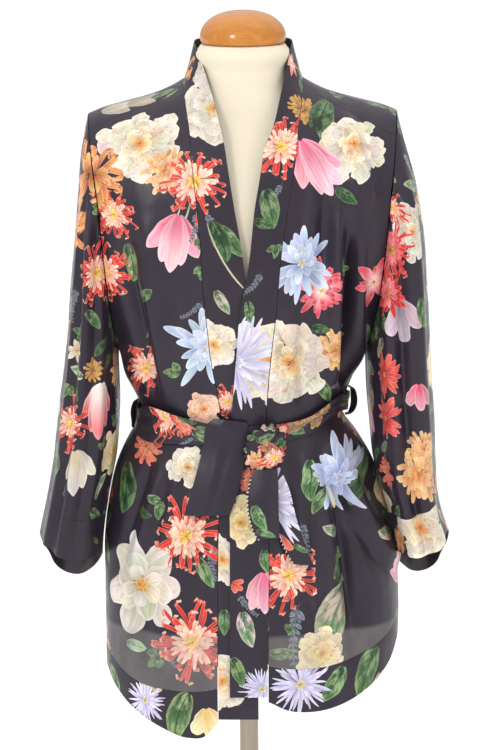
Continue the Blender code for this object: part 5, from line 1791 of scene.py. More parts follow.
def scattered(surface, shape, taken, seed):
    """Flowers for the cloth that no table covers, none of them on another's place."""
    rng = np.random.default_rng(seed)
    low, high = shape.min(axis=0), shape.max(axis=0)
    petals = []
    for share, motifs in ((1.0, LARGE_MOTIFS), (0.8, SMALL_MOTIFS)):
        tries = rng.uniform(low, high, (int((high - low).prod() * TRIES_PER_AREA), 2))
        picks, scale = rng.integers(len(motifs), size=len(tries)), rng.uniform(0.85, 1.15, len(tries))
        outside = Surface.sample(surface.normals, *surface.find(tries))[:, 1] > -0.30
        for at, pick, own in zip(tries[outside], picks[outside], scale[outside]):
            kind, size, palette = motifs[pick]
            size = size / 1000 * own
            if any(math.hypot(at[0] - x, at[1] - y) < share * (size + r) for x, y, r in taken):
                continue
            taken.append((at[0], at[1], size))
            petals += printed(kind, size * 1000, rng.uniform(0, 360), palette, at, 1, rng)
    return petals


def flowers(surface, name, seed, edges):
    """Petals of a piece's own flowers and of those between them, in the order in which they are printed."""
    petals, taken = [], []
    rows = [line.split(None, 5) for line in FLOWERS.get(name, "").split("\n") if line.strip()]
    for number, (kind, *numbers, palette) in enumerate(rows):
        x, z, size, turn = map(float, numbers)
        rng = np.random.default_rng(seed * 1000 + number)
        across, down, mirror = surface.spot(x / 1000, z / 1000)
        petals += printed(kind, size, turn, palette, (across, down), mirror, rng)
        taken.append((across, down, size / 1000))
    if name in PLAIN:
        return petals
    return scattered(surface, outline(surface, edges, NO_GAPS), taken, seed) + petals


def visible(petals, shape):
    """Outlines of the petals within a shape, and the parts of them that later petals leave in sight."""
    low, high = shape.min(axis=0), shape.max(axis=0)
    kept = []
    for item in petals:
        line = petal_outline(item)
        if (line.max(axis=0) > low).all() and (line.min(axis=0) < high).all():
            kept.append((item, line))
    if not kept:
        return [], []
    points = np.concatenate([line for _, line in kept])
    starts = np.cumsum([0] + [len(line) for _, line in kept])
    cover = np.full(len(points), -1)
    order, xs = by_x(points)
    for k, (_, line) in enumerate(kept):
        found = within(line, points, order, xs)
        cover[found[found < starts[k]]] = k
    segments = []
    for k, (_, line) in enumerate(kept):
        for i in range(len(line)):
            a, b = starts[k] + i, starts[k] + (i + 1) % len(line)
            if cover[a] < 0 or cover[a] != cover[b]:
                segments.append((a, b))
    return kept, (points, segments)


def lattice(shape, step):
    """Even points inside a shape, every second row moved by half a step."""
    low, high = shape.min(axis=0), shape.max(axis=0)
    xs, ys = np.meshgrid(np.arange(low[0], high[0], step), np.arange(low[1], high[1], step * 0.87))
    xs = xs + step / 2 * (np.arange(len(xs)) % 2)[:, None]
    points = np.stack([xs.ravel(), ys.ravel()], axis=1)
    return points[inside(shape, points)]


def triangles(shape, points, segments, step):
    """Triangles of a flat shape that keep the given segments: points, triangles, and each result's own inputs."""
    count = len(shape)
    every = np.concatenate([shape, *( [points] if len(points) else [] ), lattice(shape, step)])
    links = [(k, (k + 1) % count) for k in range(count)] + [(a + count, b + count) for a, b in segments]
    made, _, faces, sources, _, _ = delaunay_2d_cdt([Vector(p) for p in every], links, [], 0, 1e-7, True)
    made = np.array([tuple(p) for p in made])
    faces = np.array([f for f in faces if len(f) == 3])
    return made, faces[inside(shape, made[faces].mean(axis=1))], sources


def rim_of(faces):
    """The directed edges that only one triangle has."""
    ends = np.concatenate([faces[:, [0, 1]], faces[:, [1, 2]], faces[:, [2, 0]]])
    size = ends.max() + 1
    code, back = ends[:, 0] * size + ends[:, 1], ends[:, 1] * size + ends[:, 0]
    return ends[~np.isin(code, back)]


def linear(colours):
    """Colours of 0 to 255 on a screen's scale, as linear ones."""
    c = np.asarray(colours, float) / 255
    return np.where(c <= 0.04045, c / 12.92, ((c + 0.055) / 1.055) ** 2.4)


def cut(name, surface, edges, gaps, petals, wall, step):
    """A piece of cloth: its outer side carries the print, its inner side is plain, and a narrow rim joins them."""
    shape = outline(surface, edges, gaps)
    kept, drawn = visible(petals, shape)
    points, segments = drawn if kept else (np.zeros((0, 2)), [])
    low, high = shape.min(axis=0) - 0.004, shape.max(axis=0) + 0.004
    ends = np.array(segments, int).reshape(-1, 2)
    if len(ends):
        near = ((points[ends] > low) & (points[ends] < high)).all(axis=2).any(axis=1)
        ends = ends[near]
        used = np.unique(ends)
        ends = np.searchsorted(used, ends)
        points = points[used]
    flat, faces, _ = triangles(shape, points, ends.tolist(), step)
    order = follow(rim_of(faces))
    rim = np.stack([order, np.roll(order, -1)], axis=1)
    lining, back, sources = triangles(flat[order], np.zeros((0, 2)), [], max(step, LINING_STEP))
    to_lining = {}
    for number, inputs in enumerate(sources):
        for k in inputs:
            if k < len(order):
                to_lining[order[k]] = number
    row, col = surface.find(flat)
    outward = Surface.sample(surface.normals, row, col)
    outward /= np.linalg.norm(outward, axis=1, keepdims=True)
    outer = Surface.sample(surface.points, row, col) + outward * wall / 2
    row, col = surface.find(lining)
    inward = -Surface.sample(surface.normals, row, col)
    inward /= np.linalg.norm(inward, axis=1, keepdims=True)
    inner = Surface.sample(surface.points, row, col) + inward * wall / 2
    a, b, c = outer[faces[:200]].swapaxes(0, 1)
    if (np.cross(b - a, c - a) * outward[faces[:200, 0]]).sum() < 0:
        faces, rim = faces[:, ::-1], rim[:, ::-1]
    a, b, c = inner[back[:200]].swapaxes(0, 1)
    if (np.cross(b - a, c - a) * inward[back[:200, 0]]).sum() < 0:
        back = back[:, ::-1]
    count = len(outer)
    below = np.array([[to_lining[a], to_lining[b]] for a, b in rim]) + count
    sides = np.concatenate(
        [np.stack([rim[:, 1], rim[:, 0], below[:, 0]], axis=1), np.stack([rim[:, 1], below[:, 0], below[:, 1]], axis=1)]
    )
    every = np.concatenate([faces, back + count, sides])
    spots = np.concatenate([outer, inner])
    across = np.cross(spots[sides[:, 1]] - spots[sides[:, 0]], spots[sides[:, 2]] - spots[sides[:, 0]])
    across /= np.maximum(np.linalg.norm(across, axis=1, keepdims=True), 1e-12)
    normals = np.concatenate([outward[faces], inward[back], np.repeat(across[:, None], 3, axis=1)])
    marks = paint(kept, flat, faces, len(every))
    span = flat.max(axis=0) - flat.min(axis=0)
    own = (flat - flat.min(axis=0)) / span
    lined = (lining - flat.min(axis=0)) / span
    shares = np.concatenate([own[faces] * (0.78, 1), lined[back] * (0.18, 1) + (0.79, 0)])
    shares = np.concatenate([shares, np.full((len(sides), 3, 2), 0.99)])
    return mesh_of(name, spots, every, normals, marks, shares)


def follow(rim):
    """The points of an outline's edges in order, without the specks that a touching point can leave."""
    after = {}
    for a, b in rim.tolist():
        after.setdefault(a, []).append(b)
    longest = []
    while after:
        start = next(iter(after))
        order = [start]
        while order[-1] in after:
            ways = after[order[-1]]
            step = ways.pop()
            if not ways:
                del after[order[-1]]
            if step == start:
                break
            order.append(step)
        if len(order) > len(longest):
            longest = order
    return longest


def paint(kept, flat, faces, total):
    """Which petal each triangle shows, as colours for its base, tip and edge, and its corners' places on the petal."""
    middle = flat[faces].mean(axis=1)
    owner = np.full(len(faces), -1)
    order, xs = by_x(middle)
    for k, (_, line) in enumerate(kept):
        owner[within(line, middle, order, xs)] = k
    colours = np.zeros((3, total, 3))
    kind = np.zeros(total)
    places = np.zeros((total, 3, 3))
    for k, (item, _) in enumerate(kept):
        mine = np.flatnonzero(owner == k)
        if len(mine):
            u, v = petal_place(item, flat[faces[mine]].reshape(-1, 2))
            places[mine, :, 0] = u.reshape(-1, 3)
            places[mine, :, 1] = v.reshape(-1, 3)
            places[mine, :, 2] = item["phase"]
            colours[:, mine] = linear(item["colours"])[:, None]
            kind[mine] = item["kind"]
    kind[len(faces) :] = -1
    base, tip, edge = colours
    return {"petal_base": base, "petal_tip": tip, "petal_edge": edge, "petal_kind": kind, "petal": places}


def mesh_of(name, spots, faces, normals, marks, shares):
    """A mesh of the points that its triangles use, with their own normals, marks and baking coordinates."""
    used, faces = np.unique(faces, return_inverse=True)
    spots, faces = spots[used], faces.reshape(-1, 3)
    mesh = bpy.data.meshes.new(name)
    mesh.vertices.add(len(spots))
    mesh.vertices.foreach_set("co", spots.astype(np.float32).ravel())
    mesh.loops.add(3 * len(faces))
    mesh.loops.foreach_set("vertex_index", faces.astype(np.int32).ravel())
    mesh.polygons.add(len(faces))
    mesh.polygons.foreach_set("loop_start", np.arange(0, 3 * len(faces), 3, dtype=np.int32))
    mesh.update(calc_edges=True)
    mesh.polygons.foreach_set("use_smooth", np.ones(len(faces), bool))
    for key, values in marks.items():
        kind, what = ("FLOAT", "value") if key == "petal_kind" else ("FLOAT_VECTOR", "vector")
        layer = mesh.attributes.new(key, kind, "CORNER" if key == "petal" else "FACE")
        layer.data.foreach_set(what, values.astype(np.float32).ravel())
    layer = mesh.uv_layers.new(name="OFBake")
    layer.uv.foreach_set("vector", shares.astype(np.float32).ravel())
    mesh.normals_split_custom_set(normals.reshape(-1, 3).astype(np.float32))
    return linked(name, mesh)


# ---- finishes


def add(tree, kind, links=(), **values):
    """A node with its settings and linked inputs."""
    node = tree.nodes.new(kind)
    for key, value in values.items():
        setattr(node, key, value)
    for index, source in dict(links).items():
        tree.links.new(source, node.inputs[index])
    return node


def maths(tree, operation, a, b=None, c=None):
    node = add(tree, "ShaderNodeMath", operation=operation)
    for index, value in enumerate((a, b, c)):
        if value is None:
            continue
        if isinstance(value, (int, float)):
            node.inputs[index].default_value = value
        else:
            tree.links.new(value, node.inputs[index])
    return node.outputs[0]


def span(tree, value, low, high, to_low=0.0, to_high=1.0):
    """A value's share between two limits, eased, as a new range."""
    node = add(tree, "ShaderNodeMapRange", {0: value}, interpolation_type="SMOOTHSTEP")
    for index, number in enumerate((low, high, to_low, to_high)):
        node.inputs[index + 1].default_value = number
    return node.outputs[0]


def mixed(tree, share, a, b, mode="MIX"):
    node = tree.nodes.new("ShaderNodeMix")
    node.data_type, node.blend_type = "RGBA", mode
    for index, value in ((0, share), (6, a), (7, b)):
        if isinstance(value, (int, float, tuple)):
            node.inputs[index].default_value = value
        else:
            tree.links.new(value, node.inputs[index])
    return node.outputs[2]


def noise(tree, vector, scale, detail=2.0, roughness=0.5):
    node = add(tree, "ShaderNodeTexNoise", {0: vector})
    settings(node, Scale=scale, Detail=detail, Roughness=roughness)
    return node.outputs["Fac"]


def stretched(tree, vector, scale):
    node = add(tree, "ShaderNodeMapping", {0: vector})
    settings(node, Scale=scale)
    return node.outputs[0]


def colour(rgb):
    """A screen colour of 0 to 255 as a linear one with alpha."""
    return (*linear(rgb), 1.0)


def settings(shader, **values):
    """Sets a shader's own sockets, named with underscores."""
    for key, value in values.items():
        shader.inputs[key.replace("_", " ")].default_value = value


def bump(tree, shader, height, strength, distance):
    """A bump that feeds the shader's normal."""
    node = add(tree, "ShaderNodeBump", {"Height": height})
    settings(node, Strength=strength, Distance=distance)
    tree.links.new(node.outputs[0], shader.inputs["Normal"])


def placed(tree, inner, **values):
    """A node of a shader group, with its inputs set: its outputs."""
    node = add(tree, "ShaderNodeGroup", node_tree=inner)
    settings(node, **values)
    return node.outputs


def object_place(tree):
    return add(tree, "ShaderNodeTexCoord").outputs["Object"]


def shaded(tree, share, rgb, dim):
    """A colour that darkens by a share of the way to a dimmer one."""
    return mixed(tree, share, (*rgb, 1.0), (*(dim * c for c in rgb), 1.0))


def group(name, inputs, outputs):
    """An empty shader group with named sockets, colours or values: its tree, its inputs and its output node."""
    tree = bpy.data.node_groups.new(name, "ShaderNodeTree")
    for label, value in inputs:
        kind = "NodeSocketColor" if isinstance(value, tuple) else "NodeSocketFloat"
        tree.interface.new_socket(label, in_out="INPUT", socket_type=kind).default_value = value
    for label in outputs:
        kind = "NodeSocketColor" if label == "Colour" else "NodeSocketFloat"
        tree.interface.new_socket(label, in_out="OUTPUT", socket_type=kind)
    return tree, tree.nodes.new("NodeGroupInput").outputs, tree.nodes.new("NodeGroupOutput")


def petals_group():
    """The print: each petal runs from its base colour to its tip colour, with streaks, a lighter edge and a midrib."""
    name = "printed petals"
    if name in bpy.data.node_groups:
        return bpy.data.node_groups[name]
    sockets = (("Ground", colour((38, 32, 44))), ("Streaks", 0.42), ("Edge", 0.38))
    tree, given, result = group(name, sockets, ("Colour", "Printed", "Inner side"))

    def attribute(name):
        return add(tree, "ShaderNodeAttribute", attribute_name=name).outputs

    def times(a, b):
        return maths(tree, "MULTIPLY", a, b)

    place = add(tree, "ShaderNodeSeparateXYZ", {0: attribute("petal")["Vector"]}).outputs
    kind = attribute("petal_kind")["Fac"]
    along, side = place[0], place[1]
    off = maths(tree, "ABSOLUTE", side)
    base, tip, edge = (attribute(f"petal_{part}")["Vector"] for part in ("base", "tip", "edge"))
    body = mixed(tree, span(tree, along, 0.05, 0.9), base, tip)
    fine = add(tree, "ShaderNodeCombineXYZ", {0: times(side, 5.5), 1: along, 2: place[2]}).outputs[0]
    streak = span(tree, noise(tree, fine, 1.0, 3.0, 0.6), 0.36, 0.66)
    dark = mixed(tree, 1.0, body, base, "MULTIPLY")
    body = mixed(tree, times(streak, given["Streaks"]), body, dark)
    rim = maths(tree, "MAXIMUM", span(tree, off, 0.55, 1.0), span(tree, along, 0.86, 1.0))
    body = mixed(tree, times(rim, given["Edge"]), body, edge)
    mottled = maths(tree, "GREATER_THAN", kind, 2.5)
    is_leaf = maths(tree, "SUBTRACT", maths(tree, "GREATER_THAN", kind, 1.5), mottled)
    cloud = add(tree, "ShaderNodeCombineXYZ", {0: times(side, 1.3), 1: times(along, 3.4), 2: place[2]}).outputs[0]
    blotch = noise(tree, cloud, 1.0, 3.0, 0.6)
    ochre = mixed(tree, 1.0, body, colour((226, 178, 112)), "MULTIPLY")
    body = mixed(tree, times(span(tree, blotch, 0.52, 0.72, 0.0, 0.65), mottled), body, ochre)
    body = mixed(tree, times(span(tree, blotch, 0.44, 0.62, 0.0, 0.65), is_leaf), body, edge)
    rib = times(span(tree, off, 0.13, 0.03), is_leaf)
    vein = maths(tree, "SINE", maths(tree, "MULTIPLY_ADD", along, 40.0, times(off, -13.0)))
    veins = times(times(span(tree, vein, 0.70, 1.0), 0.45), is_leaf)
    body = mixed(tree, maths(tree, "MAXIMUM", times(rib, 0.8), veins), body, base)
    printed = maths(tree, "GREATER_THAN", kind, 0.5)
    tree.links.new(mixed(tree, printed, given["Ground"], body), result.inputs[0])
    tree.links.new(printed, result.inputs[1])
    tree.links.new(maths(tree, "LESS_THAN", kind, -0.5), result.inputs[2])
    return tree


def weave_group():
    """Satin's fine twill and the soft crumple of worn cloth, as a height and a change of tone."""
    name = "satin weave"
    if name in bpy.data.node_groups:
        return bpy.data.node_groups[name]
    tree, given, result = group(name, (("Crumple", 1.0),), ("Height", "Tone"))
    place = object_place(tree)
    threads = noise(tree, stretched(tree, place, (2600, 2600, 240)), 1.0, 1.0)
    soft = noise(tree, stretched(tree, place, (26, 26, 11)), 1.0, 2.0, 0.45)
    creases = noise(tree, stretched(tree, place, (70, 70, 34)), 1.0, 2.0, 0.5)
    wave = maths(tree, "MULTIPLY_ADD", soft, 1.0, maths(tree, "MULTIPLY", creases, 0.22))
    height = maths(tree, "MULTIPLY_ADD", wave, given["Crumple"], maths(tree, "MULTIPLY", threads, 0.008))
    tree.links.new(height, result.inputs[0])
    tree.links.new(span(tree, noise(tree, stretched(tree, place, (40, 40, 20)), 1.0, 3.0), 0.3, 0.7), result.inputs[1])
    return tree


def material(name):
    """An empty material with its Principled shader: the material, its tree and the shader."""
    made = bpy.data.materials.new(name)
    made.use_nodes = True
    return made, made.node_tree, made.node_tree.nodes["Principled BSDF"]


def printed_satin(painted_backlight=False):
    """The jacket's cloth. Below the form the single layer of a front lets the light through, and that light is painted
    in: the cloth there is mixed towards pale grey and looks paler.
    """
    name = "printed_satin_painted_backlight" if painted_backlight else "printed_satin"
    if name in bpy.data.materials:
        return bpy.data.materials[name]
    looks = bpy.context.scene.kimono_cloth
    made, tree, shader = material(name)
    marks = placed(tree, petals_group(), Ground=(*looks.ground, 1.0))
    weave = placed(tree, weave_group(), Crumple=looks.crumple)
    cloth = marks["Colour"]
    # painted light: below the form's bottom the cloth is mixed a third of the way to pale grey, for the light that
    # comes through
    if painted_backlight:
        z = add(tree, "ShaderNodeSeparateXYZ", {0: object_place(tree)}).outputs[2]
        low = span(tree, z, FORM_BOTTOM + 0.004, FORM_BOTTOM - 0.004)
        cloth = mixed(tree, low, cloth, mixed(tree, 0.32, cloth, colour((150, 146, 142))))
    cloth = mixed(tree, marks["Inner side"], cloth, mixed(tree, 0.55, cloth, colour((60, 54, 58))))
    toned = mixed(tree, maths(tree, "MULTIPLY", weave["Tone"], 0.22), cloth, (0.0, 0.0, 0.0, 1.0))
    tree.links.new(toned, shader.inputs["Base Color"])
    rough = maths(tree, "MULTIPLY_ADD", weave["Tone"], 0.10, looks.roughness)
    tree.links.new(rough, shader.inputs["Roughness"])
    bump(tree, shader, weave["Height"], 0.6, 0.0035)
    settings(shader, Specular_IOR_Level=0.36, Sheen_Weight=looks.sheen, Sheen_Roughness=0.4)
    settings(shader, Sheen_Tint=(0.80, 0.76, 0.88, 1.0))
    return made


def thread(name, rgb):
    """Twisted sewing thread."""
    if name in bpy.data.materials:
        return bpy.data.materials[name]
    made, tree, shader = material(name)
    fibres = noise(tree, stretched(tree, object_place(tree), (900, 900, 2600)), 1.0, 2.0)
    tree.links.new(shaded(tree, span(tree, fibres, 0.35, 0.65), rgb, 0.6), shader.inputs["Base Color"])
    settings(shader, Roughness=0.55)
    bump(tree, shader, fibres, 0.4, 0.0003)
    return made


def linen():
    """The form's cover: a fine plain weave, a little uneven in tone."""
    made, tree, shader = material("linen_cover")
    place = object_place(tree)
    warp = noise(tree, stretched(tree, place, (1500, 1500, 160)), 1.0, 1.0)
    weft = noise(tree, stretched(tree, place, (160, 160, 1700)), 1.0, 1.0)
    threads = maths(tree, "MULTIPLY", maths(tree, "ADD", warp, weft), 0.5)
    cloud = noise(tree, place, 14.0, 3.0)
    share = maths(tree, "MULTIPLY_ADD", threads, 0.35, maths(tree, "MULTIPLY", cloud, 0.35))
    cover = bpy.context.scene.kimono_form.cover
    tree.links.new(shaded(tree, share, cover, 0.86), shader.inputs["Base Color"])
    settings(shader, Roughness=0.9, Specular_IOR_Level=0.2)
    bump(tree, shader, threads, 0.25, 0.0004)
    return made


def turned_wood():
    """Clear-lacquered wood with rings round its axis and fine pores."""
    made, tree, shader = material("turned_wood")
    place = object_place(tree)
    grain = noise(tree, stretched(tree, place, (16, 90, 60)), 1.0, 4.0, 0.6)
    bands = add(tree, "ShaderNodeTexWave", {0: stretched(tree, place, (9, 60, 46))}, wave_type="BANDS")
    bands.bands_direction = "Z"
    settings(bands, Distortion=5.0, Detail=3.0)
    pores = noise(tree, stretched(tree, place, (60, 900, 700)), 1.0, 2.0)
    wood = bpy.context.scene.kimono_form.wood
    body = shaded(tree, maths(tree, "MULTIPLY", bands.outputs["Fac"], 0.7), wood, 0.45)
    body = mixed(tree, span(tree, grain, 0.35, 0.75, 0.0, 0.45), body, colour((226, 146, 62)))
    body = mixed(tree, span(tree, pores, 0.58, 0.72, 0.0, 0.35), body, colour((110, 52, 16)))
    tree.links.new(body, shader.inputs["Base Color"])
    settings(shader, Roughness=0.42, Specular_IOR_Level=0.3, Coat_Weight=0.6, Coat_Roughness=0.10)
    bump(tree, shader, pores, 0.1, 0.0003)
    return made


def chrome(name, roughness):
    """Polished chrome with faint wiping marks. Its colour carries a painted warm reflection of brown surroundings."""
    made, tree, shader = material(name)
    marks = noise(tree, stretched(tree, object_place(tree), (50, 50, 9)), 1.0, 3.0)
    metal = bpy.context.scene.kimono_form.chrome
    tree.links.new(shaded(tree, marks, metal, 0.82), shader.inputs["Base Color"])
    settings(shader, Metallic=1.0)
    tree.links.new(maths(tree, "MULTIPLY_ADD", marks, 0.08, roughness), shader.inputs["Roughness"])
    return made


# ---- pieces


def dressed(obj, node, finish):
    """A finished piece: its material, the solid model's part for its node hidden, and the body it rides on."""
    obj.data.materials.clear()
    obj.data.materials.append(finish)
    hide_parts(node)
    SLOTS.get(node, f"{node}_satin")
    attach(obj, "root")
    return obj


def sheet(surface, edges, gaps, held, rests_on, with_pieces):
    """Works out the flat outline that a piece of cloth is cut to."""
    shape = outline(surface, edges, gaps)
    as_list(rests_on)
    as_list(with_pieces)


def cloth(
    node, surface, edges, gaps, seed, held, rests_on, painted_backlight=False, wall=WALL, step=PRINT_STEP, with_pieces=(), name=None
):
    """One piece of the jacket, cut, printed and finished."""
    petals = flowers(surface, node, seed, edges)
    obj = cut(name or f"{node}_cloth", surface, edges, gaps, petals, wall, step)
    dressed(obj, node, printed_satin(painted_backlight))
    sheet(surface, edges, gaps, held, rests_on, with_pieces)


def turned(name, profile, finish, node, steps=96):
    """A turned piece: its profile runs from the top down the outer side."""
    mesh = bpy.data.meshes.new(name)
    mesh.from_pydata([(r, 0, z) for r, z in profile], [(i, i + 1) for i in range(len(profile) - 1)], [])
    obj = linked(name, mesh)
    screw = obj.modifiers.new("Turn", "SCREW")
    screw.steps = screw.render_steps = steps
    screw.use_merge_vertices = True
    screw.merge_threshold = 0.0001
    screw.use_smooth_shade = True
    bpy.context.view_layer.update()
    return dressed(plain_mesh(obj, name), node, finish)


def rounded(profile, radius, cuts=4):
    """A profile with its inner corners rounded."""
    points = [profile[0]]
    for a, b, c in zip(profile, profile[1:], profile[2:]):
        a, b, c = (np.array(p, float) for p in (a, b, c))
        r = min(radius, np.linalg.norm(a - b) / 2.2, np.linalg.norm(c - b) / 2.2)
        start, end = b + (a - b) / np.linalg.norm(a - b) * r, b + (c - b) / np.linalg.norm(c - b) * r
        for k in range(cuts + 1):
            t = k / cuts
            points.append(tuple((1 - t) ** 2 * start + 2 * t * (1 - t) * b + t**2 * end))
    return points + [profile[-1]]


# ---- settings and operators


class ClothSettings(bpy.types.PropertyGroup):
    """Colours and finish of the jacket's cloth."""

    ground: bpy.props.FloatVectorProperty(
        name="Ground", description="Colour of the satin between the flowers", subtype="COLOR", size=3, default=GROUND
    )
    roughness: bpy.props.FloatProperty(
        name="Roughness", description="How dull the satin is", default=0.34, min=0, max=1
    )
    sheen: bpy.props.FloatProperty(name="Sheen", description="Pale sheen at grazing light", default=0.06, min=0, max=1)
    crumple: bpy.props.FloatProperty(
        name="Crumple", description="Height of the soft creases", default=1.0, min=0, max=3
    )


class FormSettings(bpy.types.PropertyGroup):
    """Sizes and colours of the dress form and its stand."""

    cover: bpy.props.FloatVectorProperty(
        name="Cover", description="Colour of the form's cover", subtype="COLOR", size=3, default=CREAM
    )
    wood: bpy.props.FloatVectorProperty(
        name="Wood", description="Colour of the neck cap", subtype="COLOR", size=3, default=WOOD
    )
    # the chrome colour holds a painted warm reflection of the surroundings
    chrome: bpy.props.FloatVectorProperty(
        name="Chrome", description="Colour of the pole and the base", subtype="COLOR", size=3, default=CHROME_WITH_PAINTED_REFLECTION
    )
    pole_radius: bpy.props.FloatProperty(
        name="Pole radius", description="Half the pole's width", default=POLE_RADIUS, min=0.008, max=0.02, unit="LENGTH"
    )


class CutFronts(bpy.types.Operator):
    """Cuts the two fronts and their borders"""

    bl_idname = "kimono.cut_fronts"
    bl_label = "Fronts"

    def execute(self, context):
        half = SEAM / 2
        side = half + ARMHOLE_GAP
        for seed, wearer in enumerate(("right", "left")):
            node = f"front_{wearer}"
            surface, place = front_surface(wearer)
            front, border = front_edges(wearer, place)
            gaps = ((0, half), (-side, 0), (0, -half), (half, 0))
            cloth(node, surface, front, gaps, 11 + seed, "draped", ("form_torso",), painted_backlight=True)
            gaps = ((0, half), (-half, 0), (0, 0), (half, 0))
            cloth(f"hem_{wearer}", surface, border, gaps, 13 + seed, "hung", (node,))
        return {"FINISHED"}


class CutBack(bpy.types.Operator):
    """Cuts the back and its border"""

    bl_idname = "kimono.cut_back"
    bl_label = "Back"

    def execute(self, context):
        surface, place = back_surface()
        back, border = back_edges(place)
        side = SEAM + ARMHOLE_GAP
        gaps = ((0, SEAM), (-side, 0), (0, -SEAM), (side, 0))
        cloth("back", surface, back, gaps, 21, "draped", ("form_torso",), painted_backlight=True, step=BACK_STEP)
        gaps = ((0, SEAM), (-SEAM, 0), (0, 0), (SEAM, 0))
        cloth("hem_back", surface, border, gaps, 22, "hung", ("back",))
        return {"FINISHED"}


class CutSleeves(bpy.types.Operator):
    """Cuts the two sleeves and the borders at their ends"""

    bl_idname = "kimono.cut_sleeves"
    bl_label = "Sleeves"

    def execute(self, context):
        half = SEAM / 2
        for seed, wearer in enumerate(("right", "left")):
            node = f"sleeve_{wearer}"
            surface, (sleeve, cuff) = sleeve_surface(wearer)
            gaps = ((0, SLEEVE_HEAD_GAP), (0, 0), (0, -half), (0, 0))
            cloth(node, surface, sleeve, gaps, 31 + seed, "hung", (f"front_{wearer}", "back"))
            gaps = ((0, half), (0, 0), (0, 0), (0, 0))
            cloth(f"cuff_{wearer}", surface, cuff, gaps, 33 + seed, "hung", (node,))
        return {"FINISHED"}


class CutNeckbands(bpy.types.Operator):
    """Cuts the neckband's two halves"""

    bl_idname = "kimono.cut_neckbands"
    bl_label = "Neckband"

    def execute(self, context):
        gaps = ((0, 0), (0, 0), (0, 0), (SEAM / 2 + BAND_GAP, 0))
        for seed, (wearer, end) in enumerate((("right", BAND_END_RIGHT), ("left", BAND_END_LEFT))):
            surface = band_surface(wearer, end)
            edges = whole_edges(surface, 5)
            cloth(f"neckband_{wearer}", surface, edges, gaps, 41 + seed, "draped", (f"front_{wearer}",))
        return {"FINISHED"}


class TieBelt(bpy.types.Operator):
    """Makes the belt: its run round the waist, the knot, the two tails, the loop and the carriers"""

    bl_idname = "kimono.tie_belt"
    bl_label = "Belt"

    def execute(self, context):
        surface = belt_surface()
        rests = ("front_left", "front_right", "back")
        edges = whole_edges(surface)
        cloth("belt_wrap", surface, edges, NO_GAPS, 51, "gathered", rests, wall=BELT_WALL, step=BELT_STEP)
        rests = ("belt_wrap",)
        for seed, (node, table, columns, centre, ripples) in enumerate(STRIPS):
            surface = strip_surface(table, columns, centre, ripples)
            threads = edge_threads(node, surface)
            edges = whole_edges(surface)
            cloth(node, surface, edges, NO_GAPS, 52 + seed, "hung", rests, step=STRIP_STEP, with_pieces=threads)
        for number, row in enumerate(KNOT_TURNS):
            surface = knot_surface(*row)
            edges = whole_edges(surface)
            name = f"knot_turn_{number + 1}"
            cloth("belt_knot", surface, edges, NO_GAPS, 61 + number, "folded", rests, step=KNOT_STEP, name=name)
        dressed(knot_heart("knot_heart"), "belt_knot", printed_satin())
        for wearer in ("right", "left"):
            surface = carrier_surface(wearer)
            tape = cut(f"carrier_{wearer}", surface, whole_edges(surface), NO_GAPS, (), CARRIER_WALL, KNOT_STEP)
            dressed(tape, f"belt_carrier_{wearer}", printed_satin())
        return {"FINISHED"}


class BuildForm(bpy.types.Operator):
    """Builds the covered torso of the dress form"""

    bl_idname = "kimono.build_form"
    bl_label = "Dress form"

    def execute(self, context):
        count = 120
        heights = np.concatenate(
            [np.arange(low, high, step) for low, high, step in FORM_ROWS]
        )
        edge = np.array([NECK_TOP - 0.003 * (1 - math.sin(k * math.pi / 12)) for k in range(7)])
        heights = np.concatenate([heights, edge])
        values = [column(FORM_SECTIONS, np.minimum(heights, NECK_TOP - 0.0032), k) for k in (1, 2, 3)]
        a = np.linspace(0, 2 * math.pi, count, endpoint=False)
        c, s = np.cos(a), np.sin(a)
        round_c = np.sign(c) * np.abs(c) ** (2 / 2.2)
        round_s = np.sign(s) * np.abs(s) ** (2 / 2.2)
        width, front, back = (v[:, None] for v in values)
        drop = np.clip((heights - (NECK_TOP - 0.003)) / 0.003, 0, 1)
        inset = 0.0045 * (1 - np.sqrt(1 - drop**2))[:, None]
        x = round_c * (width - inset)
        y = round_s * (np.where(round_s > 0, back, front) - inset)
        z = heights[:, None] + 0 * x
        verts = np.stack([x, y, z], axis=-1).reshape(-1, 3)
        rows = len(heights)
        faces = []
        for i in range(rows - 1):
            for j in range(count):
                k = (j + 1) % count
                faces.append((i * count + j, i * count + k, (i + 1) * count + k, (i + 1) * count + j))
        faces.append(tuple(range(count))[::-1])
        faces.append(tuple((rows - 1) * count + j for j in range(count)))
        dressed(smooth_piece("form_cover", verts, faces), "form_torso", linen())
        return {"FINISHED"}


class BuildStand(bpy.types.Operator):
    """Builds the wooden neck cap, the chrome pole and the base"""

    bl_idname = "kimono.build_stand"
    bl_label = "Stand"

    def execute(self, context):
        looks = context.scene.kimono_form
        widest = CAP_BOTTOM + 0.0075
        dome = []
        for i in range(33):
            a = math.pi / 2 * (1 - i / 32)
            dome.append((CAP_RADIUS * math.cos(a) ** 0.85, widest + (CAP_TOP - widest) * math.sin(a)))
        dome[0] = (0.0, CAP_TOP)
        low = [(CAP_RADIUS - 0.0010, CAP_BOTTOM + 0.0025), (CAP_RADIUS - 0.0040, CAP_BOTTOM), (0.0, CAP_BOTTOM)]
        turned("neck_cap", dome + rounded([dome[-1]] + low, 0.0015)[1:], turned_wood(), "form_neck_cap", 128)
        top, bottom = FORM_BOTTOM - TOUCH, BASE_HEIGHT + TOUCH
        r = looks.pole_radius
        pole = rounded([(0.0, top), (r, top), (r, bottom), (0.0, bottom)], 0.0008)
        turned("pole", pole, chrome("chrome_pole", 0.08), "form_pole", 64)
        edge = 0.003
        base = [
            (0.0, BASE_HEIGHT),
            (BASE_RADIUS - edge, BASE_HEIGHT),
            (BASE_RADIUS, BASE_HEIGHT - edge),
            (BASE_RADIUS, 0.0),
            (0.0, 0.0),
        ]
        turned("base", rounded(base, 0.0012), chrome("chrome_base", 0.14), "form_base", 128)
        return {"FINISHED"}


